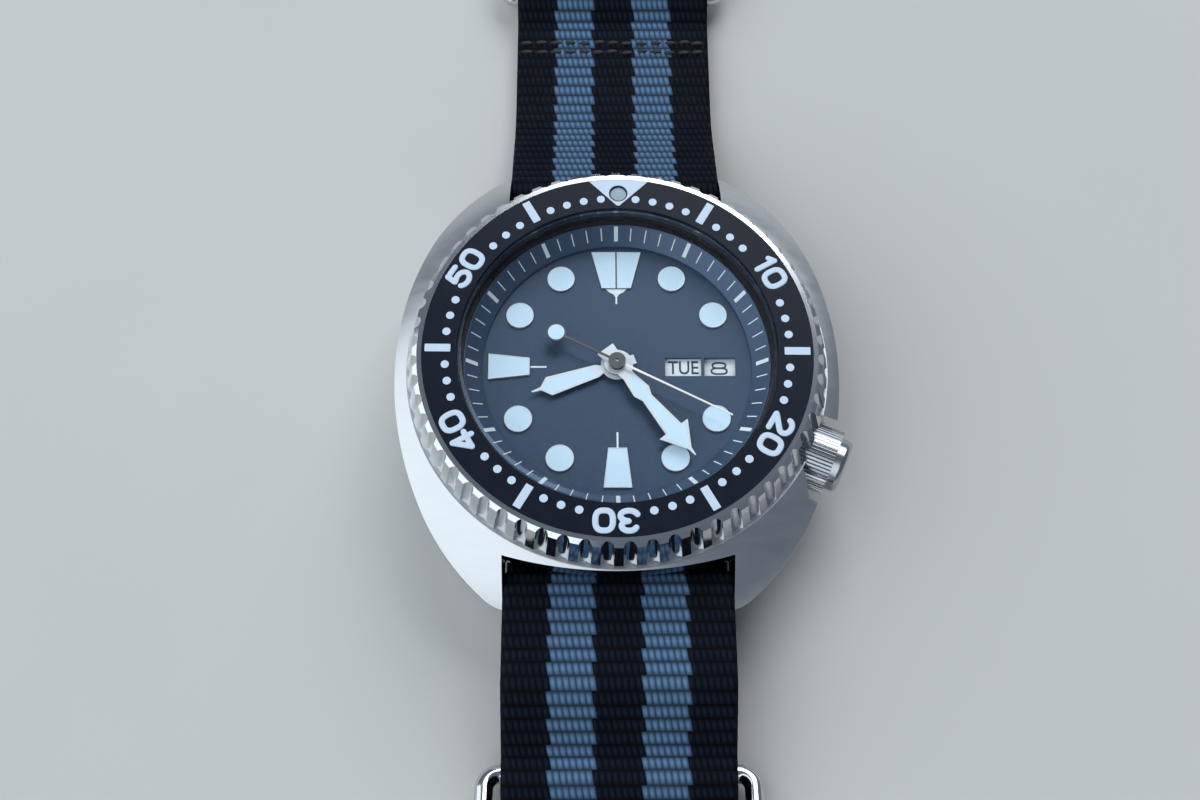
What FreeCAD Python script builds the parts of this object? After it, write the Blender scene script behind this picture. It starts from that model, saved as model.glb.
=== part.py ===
"""A dive watch on a two-layer woven pull-through strap, laid out flat.

The frame: +Z is up, out through the dial, +Y points to 12 o'clock and +X to 3 o'clock. The origin lies on the
axis of the hands, in the plane that the strap rests on. Lengths are in millimetres.
From the bottom up: two strap layers, screw-in case back, winding weight, bridges, gear train, main plate, date
and day discs, dial, hands, flat crystal, and round the crystal the turning bezel with its insert.
"""

import FreeCAD, Part
import math
import os
from FreeCAD import Vector as V

# ---- Strap ----------------------------------------------------------------------------------------------------
strap_play = 0.03  # between the strap and each lug
strap_thick = 1.2
layer_gap = 0.05  # between two strap layers, and between the strap and the case back
strap_tail_y = -180.0  # tip of the long tail
strap_tip_radius = 14.0
strap_hole_radius = 1.1
strap_hole_count = 10
strap_hole_pitch = 7.5
strap_first_hole = 27.0  # from the tip
bar_fit = 0.05  # clearance round each bar that the strap wraps
rise_before_weld = 9.6  # from the weld to where the strap rises to the spring bar
sag_before_keeper = 8.9  # lowest point between the lugs and the end ring on the tail side
tail_foot_beyond = 9.1  # from the end ring's bar to where the tail meets the ground
fold_radius = 1.5
pocket_top = 2.4  # length of strap that lies over a ring's bar
pocket_run = 2.6  # length over which the strap comes down beside a bar
weld_before_keeper = 8.0  # the short layer is welded on here
short_layer_end = 1.8  # the short layer reaches this far past the weld
fold_tab = 5.0  # the short layer's end is welded back over this length
sag_lift = 1.3  # the tail lies this much above the upper layer there

# ---- Buckle and keeper rings ---------------------------------------------------------------------------------
wire_radius = 0.9
loop_beyond_strap = 1.7  # middle of the wire, outside the strap's edge
loop_corner = 1.5
ring_reach = 6.5  # between the middles of a ring's two bars
ring_tip_lift = 0.35
buckle_bar_y = 79.0
buckle_reach = 11.5
keeper_before_buckle = 12.0  # from the buckle's bar to the nearest keeper's
keeper_middle_share = 0.6585  # of the way from the spring bar to that keeper
keeper_beyond_bar = 16.5  # from the 6 o'clock spring bar to the end ring's bar
tongue_width = 2.2
tongue_thick = 1.0
tongue_overhang = 0.9
tongue_slot = 3.4
tongue_slot_back = 3.6

# ---- Case ----------------------------------------------------------------------------------------------------
case_beyond_bezel = 1.4
lug_beyond_width = 3.4  # lug to lug is longer than the case is wide by this
lug_gap = 22.2
side_radius = 35.8  # of the long side curve, seen from above
side_angle = 23.5  # degrees of that curve above and below 3 and 9 o'clock
lug_corner_in = 1.9  # where the lug's end starts to round, from the gap and from the tip
lug_corner_drop = 1.15
lug_tip_in = 0.3
back_stand = 1.8  # the case back stands below the middle case by this
mid_height = 7.0
lug_drop = 0.6  # the lugs reach below the middle case by this
tuck_levels = ((0.0, 2.2), (1.2, 0.9),
               (3.3, 0.0))  # (height above the lugs' underside, inset) of the tucked side
seat_beyond_bezel = 0.15  # the top slopes down from here
seat_edge_drop = 0.25
dome_mid = (1.75, 1.95)  # (beyond the case's half width, drop below the bezel seat) on the sloping top
dome_end = (5.25, 5.6)
gap_wall_behind_bar = 2.55  # case wall between the lugs, in the middle
gap_wall_bow = 1.25  # that wall lies this much further back beside a lug
flange_thick = 2.2  # the bezel's seat overhangs that wall
flange_beyond_seat = 0.1
flange_bow = 1.75  # its edge lies this much further back beside a lug
holder_wall = 1.5  # ring between the movement and the case's bore
back_thread_wall = 0.6  # step from the case's bore to the thread of its back
back_thread_height = 1.6
neck_wall = 1.4  # round the crystal
neck_height = 2.6
wall_fit = 0.05
bar_from_tip = 1.95  # spring bar, from the lug's tip
bar_height = 2.3  # spring bar, above the middle case's underside
bar_radius = 0.9
bar_end_play = 0.25
bar_tip_radius = 0.4
bar_tip_length = 0.9
bar_hole_radius = 0.45
bar_hole_depth = 1.2

# ---- Case back -----------------------------------------------------------------------------------------------
back_flange = 1.6  # the back reaches this far past its thread
back_floor = 2.0
back_wall = 0.85
back_notch_count = 6
back_notch = (3.2, 1.3, 0.7)  # along the rim, in from the rim, deep
seal_beyond_thread = 0.7
seal_half_width = 0.35
seal_depth = 0.35

# ---- Bezel ---------------------------------------------------------------------------------------------------
bezel_bevel = 1.27  # from the bezel's flat edge out to its foot
bezel_shoulder = (0.47, 0.35)  # out from the flat edge, down
bezel_gap = 0.05
bezel_height = 3.85
bezel_rest = -0.7  # degrees that the bezel is turned as it lies here
bezel_foot_chamfer = 0.4
bezel_edge = 0.48  # width of the flat edge round the insert
grip_count = 60
grip_width = 1.25
grip_depth = 0.42
insert_width = 3.35
insert_gap = 0.15  # round the crystal
insert_thick = 0.6
insert_fit = 0.02
web_thick = 0.63
pip_radius = 0.82
pip_in = 1.7  # from the insert's inner edge
pip_sunk = 0.15
bezel_seal_thick = 0.3
click_count = 120
click_beyond_neck = 1.4
click_depth = 0.18
click_reach = 0.8  # length of a ratchet notch, measured outwards
click_spring = (7.0, 1.0, 0.2)  # length, width, thickness

# ---- Crystal, chapter ring and dial -------------------------------------------------------------------------
crystal_ledge = 0.35  # width of the step the crystal sits on
crystal_thick = 2.5
crystal_proud = 0.3
crystal_chamfer = 0.35
crystal_seal = 0.15
crystal_seal_wall = 0.26
chapter_width = 1.75
chapter_flat = 0.1  # at its outer edge, under the crystal
chapter_lip = 0.3
dial_play = 0.2
dial_drop = 1.85  # dial face below the crystal's ledge
dial_thick = 0.4
dial_hole_radius = 1.3
window_length = 7.0
window_before_ring = 1.6  # dial left between the window and the chapter ring
window_half_height = 1.0
window_date_length = 3.25
window_bar = 0.3
plot_radius = 1.3
plot_before_ring = 0.87
plot_thick = 0.22
plot_edge = 0.08
baton_before_ring = 0.7
baton_length = 3.95
baton_half_outer = 1.3
baton_half_inner = 0.85
twelve_half_outer = 2.42
twelve_half_inner = 1.42
twelve_split = 0.3

# ---- Hands ---------------------------------------------------------------------------------------------------
second_angle = 117.3  # clockwise from 12, at rest
minute_angle = 142.4
hour_angle = 250.9
hand_thick = 0.15
hand_step = 0.5  # height between two hands
hand_over_dial = 0.45
hand_lume_thick = 0.06
hand_lume_inset = 0.22
second_before_ring = 0.8
minute_before_second = 0.3
hour_before_minute = 3.4
second_tail = 6.78
second_dot_radius = 0.82
second_hub_radius = 0.85
hub_rise = 0.12
hand_tail = 1.9
hand_boss = 0.45
hour_bore = 1.15  # outside of the hour wheel's pipe
minute_bore = 0.8  # outside of the cannon pinion's pipe
seconds_bore = 0.2  # outside of the seconds arbor

# ---- Crown ---------------------------------------------------------------------------------------------------
crown_angle = -23.0  # degrees from 3 o'clock, towards 6
crown_height = 3.5  # axis above the middle case's underside
crown_radius = 3.25
crown_knurls = 56
crown_knurl_depth = 0.16
crown_under_bezel = 0.55  # the crown starts inside the bezel's rim by this
crown_length = 3.05
crown_cap_radius = 2.65
crown_cap_length = 1.2
crown_cap_round = 0.55
crown_seal_thick = 0.35
crown_recess_half = 4.1
crown_recess_play = 0.3  # between the crown and the floor of its recess
tube_radius = 1.7
tube_in_crown = 1.7
tube_wall = 0.65
stem_radius = 0.6
stem_fit = 0.06
stem_beyond_clutch = 1.0
stem_pilot = 0.6  # the square runs from here to the winding pinion's seat
stem_square = 0.8  # side of the square that drives the clutch
clutch_length = 1.3
pinion_length = 0.9
pinion_before_groove = 0.65
clutch_gap = 0.1  # between the clutch and the winding pinion
clutch_radius = 1.1
keyless_teeth = 14
groove_in = 1.5  # from the rim of the main plate
groove_width = 0.5
groove_root = 0.35
crown_travel = 1.2  # the crown pulls out this far
lever_length = 3.0
lever_thick = 0.25
lever_peg_radius = 0.2
lever_pin_radius = 0.3

# ---- Movement ------------------------------------------------------------------------------------------------
plate_radius = 13.65
holder_fit = 0.05
plate_thick = 1.5
disc_space = 0.4  # between main plate and dial, for the date and day discs
disc_thick = 0.12
recess_radius = 6.2
recess_depth = 0.9
train_space = 2.1
bridge_thick = 0.6
rotor_in = 0.55  # from the rim of the main plate
rotor_rim_width = 3.4
rotor_rim_thick = 0.75
rotor_web_thick = 0.25
rotor_gap = 0.4
rotor_hub_radius = 2.4
axle_radius = 0.8
date_in = 0.35  # from the rim of the main plate
date_width = 5.2
date_teeth = 31
day_over_date = 0.45  # the day disc covers this much of the date disc
pivot_radius = 0.1
arbor_radius = 0.18
jewel_radius = 0.5
jewel_thick = 0.25
center_arbor = 0.42
center_bore = 0.26
center_hole = 0.6
barrel_core = 1.2
fork_tail = 2.0
fork_foot_at = 3.1
fork_bridge_rise = 0.95
escape_rise = 0.15
cock_half = 1.6
screw_shank = 0.35
day_inner = 2.0
wheel_thick = 0.12
wheel_rim = 0.45
spoke_half = 0.16
third_distance = 4.5
third_angle = -75.0
center_teeth, third_pinion_teeth = 64, 8
third_teeth, fourth_pinion_teeth = 60, 8
fourth_teeth, escape_pinion_teeth = 72, 6
escape_before_fork = 2.7
escape_angle = 45.0
escape_teeth = 15
escape_radius = 2.15
barrel_teeth, center_pinion_teeth = 72, 9
barrel_distance = 6.075
barrel_angle = 160.0
barrel_drum = 4.95
barrel_wall = 0.3
mainspring_turns = 6
mainspring_thick = 0.12
fork_before_balance = 2.4
balance_clearance = 0.55  # from the rim of the main plate
balance_radius = 3.5
balance_rim = 0.42
hairspring_turns = 6
hairspring_outer = 2.2
hairspring_inner = 0.55
hairspring_thick = 0.05
spiral_steps = 24  # straight lengths to a turn of a spiral spring
cannon_teeth, minute_wheel_teeth = 12, 36
minute_pinion_teeth, hour_wheel_teeth = 10, 40
motion_distance = 2.7
motion_angle = 215.0
post_radius = 0.75
post_in = 1.25  # from the rim of the main plate
post_angles = (205.0, 262.0, 315.0)
cock_post_angle = 86.0
screw_head_radius = 0.6
screw_head_thick = 0.2

# ---- Sizes seen from above that follow from the main plate outwards --------------------------------------------
bore_radius = plate_radius + holder_wall
crystal_radius = bore_radius + crystal_ledge
neck_radius = crystal_radius + neck_wall
back_thread_radius = bore_radius + back_thread_wall
back_radius = back_thread_radius + back_flange
seal_radius = back_thread_radius + seal_beyond_thread
insert_inner = crystal_radius + insert_gap
insert_outer = insert_inner + insert_width
bezel_rim_radius = insert_outer + bezel_edge
bezel_radius = bezel_rim_radius + bezel_bevel
pip_at = insert_inner + pip_in
click_radius = neck_radius + click_beyond_neck
seat_radius = bezel_radius + seat_beyond_bezel
case_width = 2 * (bezel_radius + case_beyond_bezel)
lug_to_lug = case_width + lug_beyond_width
bar_y = lug_to_lug / 2 - bar_from_tip
gap_wall_middle = bar_y - gap_wall_behind_bar
flange_middle = seat_radius + flange_beyond_seat
crown_start = bezel_radius - crown_under_bezel
crown_recess_floor = crown_start - crown_recess_play
tube_start = bore_radius + wall_fit
tube_end = crown_start + tube_in_crown
strap_width = lug_gap - 2 * strap_play
loop_half_width = strap_width / 2 + loop_beyond_strap
keeper_buckle_y = buckle_bar_y - keeper_before_buckle
keeper_middle_y = bar_y + (keeper_buckle_y - bar_y) * keeper_middle_share
keeper_end_y = -bar_y - keeper_beyond_bar
weld_y = keeper_middle_y - weld_before_keeper
rise_foot_y = weld_y - rise_before_weld
sag_y = keeper_end_y + sag_before_keeper
tail_foot_y = keeper_end_y - tail_foot_beyond

# ---- Sizes seen from above that follow from the main plate inwards ---------------------------------------------
dial_radius = bore_radius - dial_play
chapter_inner = bore_radius - chapter_width
window_outer_x = chapter_inner - window_before_ring
window_inner_x = window_outer_x - window_length
window_split = window_outer_x - window_date_length
plot_at = chapter_inner - plot_before_ring - plot_radius
baton_outer = chapter_inner - baton_before_ring
baton_inner = baton_outer - baton_length
second_length = chapter_inner - second_before_ring
minute_length = second_length - minute_before_second
hour_length = minute_length - hour_before_minute
groove_at = plate_radius - groove_in
pinion_end = groove_at - pinion_before_groove
pinion_start = pinion_end - pinion_length
clutch_end = pinion_start - clutch_gap
clutch_start = clutch_end - clutch_length
stem_end = clutch_start - stem_beyond_clutch
stem_pilot_end = stem_end + stem_pilot
rotor_radius = plate_radius - rotor_in
date_outer = plate_radius - date_in
date_inner = date_outer - date_width
day_outer = date_inner + day_over_date
post_at = plate_radius - post_in
balance_distance = plate_radius - balance_clearance - balance_radius
fork_distance = balance_distance - fork_before_balance
escape_distance = fork_distance - escape_before_fork

# ---- Heights that follow from the sizes above ------------------------------------------------------------------
z_back = 2 * (strap_thick + layer_gap)
z_mid = z_back + back_stand
z_lug = z_mid - lug_drop
z_seat = z_mid + mid_height
z_bezel = z_seat + bezel_gap
z_bezel_top = z_bezel + bezel_height
z_crystal_top = z_bezel_top + crystal_proud
z_crystal = z_crystal_top - crystal_thick
z_ledge = z_crystal - crystal_seal
z_dial = z_ledge - dial_drop
z_dial_under = z_dial - dial_thick
z_plate_top = z_dial_under - disc_space
z_plate = z_plate_top - plate_thick
z_bridge_top = z_plate - train_space
z_bridge = z_bridge_top - bridge_thick
z_rotor_top = z_bridge - rotor_gap
z_fork_bridge = z_bridge_top + fork_bridge_rise
z_escape = z_fork_bridge + jewel_thick + escape_rise
z_hour_hand = z_dial + hand_over_dial
z_minute_hand = z_hour_hand + hand_step
z_second_hand = z_minute_hand + hand_step
z_crown = z_mid + crown_height
z_bar = z_mid + bar_height
wrap_radius = wire_radius + bar_fit + strap_thick / 2  # middle of the strap round a bar
z_low_layer = strap_thick / 2
z_high_layer = 1.5 * strap_thick + layer_gap
z_held_bar = z_low_layer + wrap_radius
z_over_bar = z_held_bar + wrap_radius


# ---- Tools -----------------------------------------------------------------------------------------------------
def polar(radius, angle, z=0.0):
    """A point at a radius and an angle in degrees, counter-clockwise from 3 o'clock."""
    a = math.radians(angle)
    return V(radius * math.cos(a), radius * math.sin(a), z)


def turned(shape, angle, at=V(0, 0, 0)):
    """A copy of shape, turned counter-clockwise about +Z and moved to a point."""
    copy = shape.copy()
    copy.Placement = FreeCAD.Placement(at, FreeCAD.Rotation(V(0, 0, 1), angle)).multiply(copy.Placement)
    return copy


def disc(radius, low, high, at=V(0, 0, 0)):
    return Part.makeCylinder(radius, high - low, V(at.x, at.y, low))


def tube(inner, outer, low, high, at=V(0, 0, 0)):
    return disc(outer, low, high, at).cut(disc(inner, low - 1, high + 1, at))


def prism(points, low, high):
    """A straight solid on an outline of (x, y) points."""
    wire = Part.makePolygon([V(x, y, low) for x, y in points] + [V(points[0][0], points[0][1], low)])
    return Part.Face(wire).extrude(V(0, 0, high - low))


def revolved(edges_or_points):
    """A full turn about the Z axis of an outline given as (radius, z) points, or as edges in the XZ plane."""
    if isinstance(edges_or_points[0], tuple):
        points = [V(r, 0, z) for r, z in edges_or_points]
        wire = Part.makePolygon(points + points[:1])
    else:
        wire = Part.Wire(edges_or_points)
    return Part.Face(wire).revolve(V(0, 0, 0), V(0, 0, 1), 360)


def fused(shapes):
    return shapes[0].multiFuse(shapes[1:]).removeSplitter() if len(shapes) > 1 else shapes[0]


def line(a, b):
    return Part.LineSegment(a, b).toShape()


def arc(a, middle, b):
    return Part.Arc(a, middle, b).toShape()


def keep(name, shape):
    """Writes one named piece. A list is a group of separate solids."""
    solids = [s for part in (shape if isinstance(shape, list) else [shape]) for s in part.Solids]
    whole = solids[0] if len(solids) == 1 else Part.makeCompound(solids)
    assert all(s.isValid() and s.Volume > 0 for s in solids), name
    whole.exportStep(os.path.join("parts", name + ".step"))
    print(f"{name}: {len(solids)} solid(s), {sum(s.Volume for s in solids):.2f} mm3")


# ---- Gears ---------------------------------------------------------------------------------------------------
def toothed_outline(teeth, module, phase, tip=0.9, root=1.15):
    """Points of a gear's outline: each tooth has two flanks, a narrow tip and a root between it and the next."""
    pitch = math.tau / teeth
    pitch_radius = module * teeth / 2
    points = []
    for n in range(teeth):
        middle = math.radians(phase) + n * pitch
        for share, radius in ((-0.30, pitch_radius - root * module), (-0.09, pitch_radius + tip * module),
                              (0.09, pitch_radius + tip * module), (0.30, pitch_radius - root * module)):
            a = middle + share * pitch
            points.append((radius * math.cos(a), radius * math.sin(a)))
    return points


def gear(teeth, module, phase, low, high, bore=0.0, spokes=0):
    """A gear about the Z axis. With spokes it is opened out between its rim and its hub."""
    wheel = prism(toothed_outline(teeth, module, phase), low, high)
    if spokes:
        inner = module * teeth / 2 - 1.15 * module - wheel_rim
        hub = max(bore, arbor_radius) + wheel_rim
        window = tube(hub, inner, low - 1, high + 1)
        for n in range(spokes):
            arm = Part.makeBox(inner + 1, 2 * spoke_half, high - low + 4, V(0, -spoke_half, low - 2))
            window = window.cut(turned(arm, n * 360 / spokes))
        wheel = wheel.cut(window)
    if bore:
        wheel = wheel.cut(disc(bore, low - 1, high + 1))
    return wheel


def meshed_phase(phase, teeth, other_teeth, direction):
    """The phase of a gear that stands in a direction from another and is in mesh with it."""
    share = ((direction - phase) * teeth / 360) % 1
    other_share = (0.5 - share) % 1
    return direction + 180 - other_share * 360 / other_teeth


def spiral(inner, outer, turns, thick, low, high):
    """A flat spiral spring: the strip's two sides keep the same distance at every angle."""
    steps = spiral_steps * turns
    middle = [(inner + (outer - inner) * n / steps, math.tau * n / spiral_steps) for n in range(steps + 1)]
    outside = [((r + thick / 2) * math.cos(a), (r + thick / 2) * math.sin(a)) for r, a in middle]
    inside = [((r - thick / 2) * math.cos(a), (r - thick / 2) * math.sin(a)) for r, a in middle]
    return prism(outside + inside[::-1], low, high)


# ---- Case outline: three tangent arcs to a quarter ---------------------------------------------------------------
def tangent_arc(start, heading, end):
    """(centre, radius, start angle, end angle, heading at the end) of the arc that leaves start along heading."""
    chord = end - start
    normal = V(-heading.y, heading.x, 0)
    radius = chord.dot(chord) / (2 * chord.dot(normal))
    centre = start + normal * radius
    a, b = ((p - centre) for p in (start, end))
    first = math.degrees(math.atan2(a.y, a.x))
    last = math.degrees(math.atan2(b.y, b.x))
    return centre, radius, first, last, V(-b.y, b.x, 0) * (1 / radius)


def quarter_arcs():
    side_centre = V(case_width / 2 - side_radius, 0, 0)
    shoulder = side_centre + polar(side_radius, side_angle)
    corner = V(lug_gap / 2 + lug_corner_in, lug_to_lug / 2 - lug_corner_drop, 0)
    tip = V(lug_gap / 2 - lug_tip_in, lug_to_lug / 2, 0)
    flank = tangent_arc(shoulder, polar(1, side_angle + 90), corner)
    end = tangent_arc(corner, flank[4], tip)
    return [(side_centre, side_radius, 0.0, side_angle)] + [flank[:4], end[:4]]


def case_outline(z, inset):
    """The case seen from above, at height z and moved in by inset."""
    edges = []
    corners = []
    for sx, sy, backwards in ((1, 1, False), (-1, 1, True), (-1, -1, False), (1, -1, True)):
        quarter = []
        for centre, radius, first, last in quarter_arcs():
            spots = [centre + polar(radius - inset, first + (last - first) * k / 2) for k in range(3)]
            quarter.append([V(sx * p.x, sy * p.y, z) for p in spots])
        if backwards:
            quarter = [spots[::-1] for spots in quarter[::-1]]
        corners.append((quarter[0][0], quarter[-1][-1]))
        edges += [arc(*spots) for spots in quarter]
    edges.insert(3, line(corners[0][1], corners[1][0]))
    edges.insert(10, line(corners[2][1], corners[3][0]))
    return Part.Wire(edges)


def crown_side(shape):
    """Places a shape made about +Z so that +Z points out along the crown's axis."""
    out = FreeCAD.Rotation(V(0, 0, 1), polar(1, crown_angle))
    copy = shape.copy()
    copy.Placement = FreeCAD.Placement(V(0, 0, z_crown), out).multiply(copy.Placement)
    return copy


def cut_all(body, tools):
    for tool in tools:
        body = body.cut(tool)
    return body


def case_blank():
    """The middle case before its bores: an outline lofted up the flanks, met by the sloping domed top."""
    low = [case_outline(z_lug + rise, inset) for rise, inset in tuck_levels]
    block = Part.makeLoft(low + [case_outline(z_seat + 1, 0.0)], True, True)
    dome_edge = V(seat_radius, 0, z_seat - seat_edge_drop)
    middle = V(case_width / 2 + dome_mid[0], 0, z_seat - dome_mid[1])
    foot = V(case_width / 2 + dome_end[0], 0, z_seat - dome_end[1])
    rim = V(foot.x, 0, z_lug - 1)
    axis_low, axis_top, seat = V(0, 0, z_lug - 1), V(0, 0, z_seat), V(seat_radius, 0, z_seat)
    dome = revolved([line(axis_low, rim), line(rim, foot), arc(foot, middle, dome_edge),
                     line(dome_edge, seat),
                     line(seat, axis_top), line(axis_top, axis_low)])
    return block.common(dome)


def lug_space(side, middle, bow, low, high):
    """What is cut away between two lugs from low to high: down to a curved case wall."""
    beside = middle - bow
    wall = [V(x, side * y, low) for x, y in ((-lug_gap / 2, beside), (0, middle), (lug_gap / 2, beside))]
    far = [V(x, side * lug_to_lug, low) for x in (lug_gap / 2, -lug_gap / 2)]
    edges = [arc(*wall), line(wall[2], far[0]), line(far[0], far[1]), line(far[1], wall[0])]
    return Part.Face(Part.Wire(edges)).extrude(V(0, 0, high - low))


def case_body():
    body = case_blank().fuse(disc(neck_radius, z_seat - 1, z_seat + neck_height))
    under = Part.makeBox(lug_gap, 2 * lug_to_lug, lug_drop + 1, V(-lug_gap / 2, -lug_to_lug, z_lug - 1))
    reach = lug_gap / 2 + bar_hole_depth
    recess = Part.makeBox(2 * crown_recess_half, 2 * crown_recess_half, case_width,
                          V(-crown_recess_half, -crown_recess_half, crown_recess_floor))
    length, width, thick = click_spring
    pocket = Part.makeBox(length + 0.4, width + 0.3, 3 * thick,
                          V(-length / 2 - 0.2, click_radius - width / 2 - 0.15, z_seat - 3 * thick))
    cuts = [under, disc(back_radius + 3 * wall_fit, z_lug - 1, z_mid),
            disc(back_thread_radius, z_lug - 1, z_mid + back_thread_height),
            disc(bore_radius, z_lug - 1, z_ledge + 1), crown_side(recess), pocket,
            disc(crystal_radius + crystal_seal_wall + wall_fit, z_ledge, z_seat + neck_height + 1),
            crown_side(disc(tube_radius, bore_radius - 1, crown_recess_floor + 1))]
    for side in (1, -1):
        flange_foot = z_seat - flange_thick
        cuts.append(lug_space(side, gap_wall_middle, gap_wall_bow, z_lug - 1, flange_foot))
        cuts.append(lug_space(side, flange_middle, flange_bow, flange_foot, z_seat + 2))
        cuts.append(Part.makeCylinder(bar_hole_radius, 2 * reach, V(-reach, side * bar_y, z_bar),
                                      V(1, 0, 0)))
    return cut_all(body, cuts)


def case_back():
    wall = back_thread_radius - wall_fit
    top = z_mid + back_thread_height - wall_fit
    floor = z_back + back_floor
    edge = 0.35
    body = revolved([(0, z_back), (back_radius - edge, z_back), (back_radius, z_back + edge),
                     (back_radius, z_mid),
                     (wall, z_mid), (wall, top), (wall - back_wall, top), (wall - back_wall,
                                                                           floor), (0, floor)])
    along, inward, deep = back_notch
    notch = Part.makeBox(inward + 1, along, deep + 1, V(back_radius - inward, -along / 2, z_back - 1))
    notches = [turned(notch, n * 360 / back_notch_count) for n in range(back_notch_count)]
    groove = tube(seal_radius - seal_half_width, seal_radius + seal_half_width, z_mid - seal_depth,
                  z_mid + 1)
    return body.cut(groove).cut(Part.makeCompound(notches))


def case_back_gasket():
    return tube(seal_radius - seal_half_width, seal_radius + seal_half_width, z_mid - seal_depth, z_mid)


# ---- Bezel ---------------------------------------------------------------------------------------------------
def grip_scoops():
    """Round grooves that run down the bezel's sloping flank, all round."""
    out, down = bezel_shoulder
    top = V(bezel_rim_radius + out, 0, z_bezel_top - down)
    foot = V(bezel_radius, 0, z_bezel + bezel_foot_chamfer)
    along = (foot - top).normalize()
    outwards = V(-along.z, 0, along.x)
    cutter_radius = (grip_width ** 2 / 4 + grip_depth ** 2) / (2 * grip_depth)
    start = top - along + outwards * (cutter_radius - grip_depth)
    scoop = Part.makeCylinder(cutter_radius, 2 * bezel_height, start, along)
    return [turned(scoop, (n + 0.5) * 360 / grip_count) for n in range(grip_count)]


def bezel():
    inner = neck_radius + wall_fit
    web_low = z_bezel_top - insert_thick - web_thick
    web_top = z_bezel_top - insert_thick
    pocket = insert_outer + insert_fit
    out, down = bezel_shoulder
    ring = revolved([(inner, z_bezel), (bezel_radius - bezel_foot_chamfer, z_bezel),
                     (bezel_radius, z_bezel + bezel_foot_chamfer), (bezel_rim_radius + out, z_bezel_top - down),
                     (bezel_rim_radius, z_bezel_top), (pocket, z_bezel_top), (pocket, web_top),
                     (insert_inner + wall_fit, web_top), (insert_inner + wall_fit, web_low), (inner, web_low)])
    half = math.pi * click_radius / click_count * 0.9
    near = click_radius - click_reach / 2
    notch = Part.Face(Part.makePolygon([V(near, -half, z_bezel), V(near, half, z_bezel),
                                        V(near, half, z_bezel + click_depth),
                                        V(near, -half, z_bezel)])).extrude(V(click_reach, 0, 0))
    notches = [turned(notch, n * 360 / click_count) for n in range(click_count)]
    seal = tube(inner - 1, inner + 2 * bezel_seal_thick, z_bezel + 1, z_bezel + 1 + 2 * bezel_seal_thick)
    return cut_all(ring, [seal, Part.makeCompound(grip_scoops()), Part.makeCompound(notches)])


def bezel_gasket():
    return tube(neck_radius + wall_fit, neck_radius + wall_fit + 2 * bezel_seal_thick, z_bezel + 1,
                z_bezel + 1 + 2 * bezel_seal_thick)


def bezel_insert():
    low = z_bezel_top - insert_thick
    ring = tube(insert_inner, insert_outer, low, z_bezel_top)
    return ring.cut(disc(pip_radius, low - 1, z_bezel_top + 1, polar(pip_at, 90 + bezel_rest)))


def bezel_pip():
    at = polar(pip_at, 90 + bezel_rest)
    return disc(pip_radius - insert_fit, z_bezel_top - insert_thick, z_bezel_top - pip_sunk, at)


def bezel_click_spring():
    """A flat leaf in a pocket of the case; its bent end stands up to the ratchet under the bezel."""
    length, width, thick = click_spring
    leaf = Part.makeBox(length, width, thick, V(-length / 2, click_radius - width / 2, z_seat - 3 * thick))
    end = Part.makeBox(thick, width, 3 * thick, V(length / 2 - thick, click_radius - width / 2,
                                                  z_seat - 3 * thick))
    return leaf.fuse(end).removeSplitter()


# ---- Crystal, chapter ring, dial ---------------------------------------------------------------------------
def crystal():
    top, edge = z_crystal_top, crystal_chamfer
    return revolved([(0, z_crystal), (crystal_radius, z_crystal), (crystal_radius, top - edge),
                     (crystal_radius - edge, top), (0, top)])


def crystal_gasket():
    outer = crystal_radius + crystal_seal_wall
    top = z_seat + neck_height
    return revolved([(bore_radius, z_ledge), (outer, z_ledge), (outer, top), (crystal_radius, top),
                     (crystal_radius, z_crystal), (bore_radius, z_crystal)])


def chapter_ring():
    outer = bore_radius - wall_fit
    return revolved([(chapter_inner, z_dial), (outer, z_dial), (outer, z_ledge),
                     (outer - chapter_flat, z_ledge),
                     (chapter_inner, z_dial + chapter_lip)])


def dial():
    face = disc(dial_radius, z_dial_under, z_dial).cut(disc(dial_hole_radius, z_dial_under - 1, z_dial + 1))
    low = z_dial_under - 1
    for start, end in ((window_inner_x, window_split - window_bar / 2),
                       (window_split + window_bar / 2, window_outer_x)):
        face = face.cut(Part.makeBox(end - start, 2 * window_half_height, dial_thick + 2,
                                     V(start, -window_half_height, low)))
    return face


def marker(points):
    return prism(points, z_dial, z_dial + plot_thick)


def hour_markers():
    plots = []
    for hour in range(12):
        angle = 90 - 30 * hour
        if hour in (6, 9):
            baton = marker([(baton_inner, -baton_half_inner), (baton_outer, -baton_half_outer),
                            (baton_outer, baton_half_outer), (baton_inner, baton_half_inner)])
            plots.append(turned(baton, angle))
        elif hour == 0:
            for side in (1, -1):
                split = side * twelve_split / 2
                half = marker([(baton_inner, split), (baton_outer, split), (baton_outer, side * twelve_half_outer),
                               (baton_inner, side * twelve_half_inner)])
                plots.append(turned(half, angle))
        elif hour != 3:
            plots.append(disc(plot_radius, z_dial, z_dial + plot_thick, polar(plot_at, angle)))
    return plots


# ---- Hands ---------------------------------------------------------------------------------------------------
def hand(outline, hole, low, angle, windows=()):
    """A flat hand: outline and windows are (along, across) points of one side, mirrored to the other."""
    def both(points, z0, z1):
        return prism(points + [(a, -c) for a, c in reversed(points)], z0, z1)
    blade = both(outline, low, low + hand_thick)
    blade = blade.fuse(disc(hole + hand_boss, low, low + hand_thick)).cut(disc(hole, low - 1, low + 1))
    for window in windows:
        blade = blade.cut(both(list(window), low + hand_thick - hand_lume_thick, low + 1))
    fills = [both(list(window), low + hand_thick - hand_lume_thick, low + hand_thick) for window in windows]
    return turned(blade.removeSplitter(), 90 - angle), [turned(fill, 90 - angle) for fill in fills]


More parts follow.
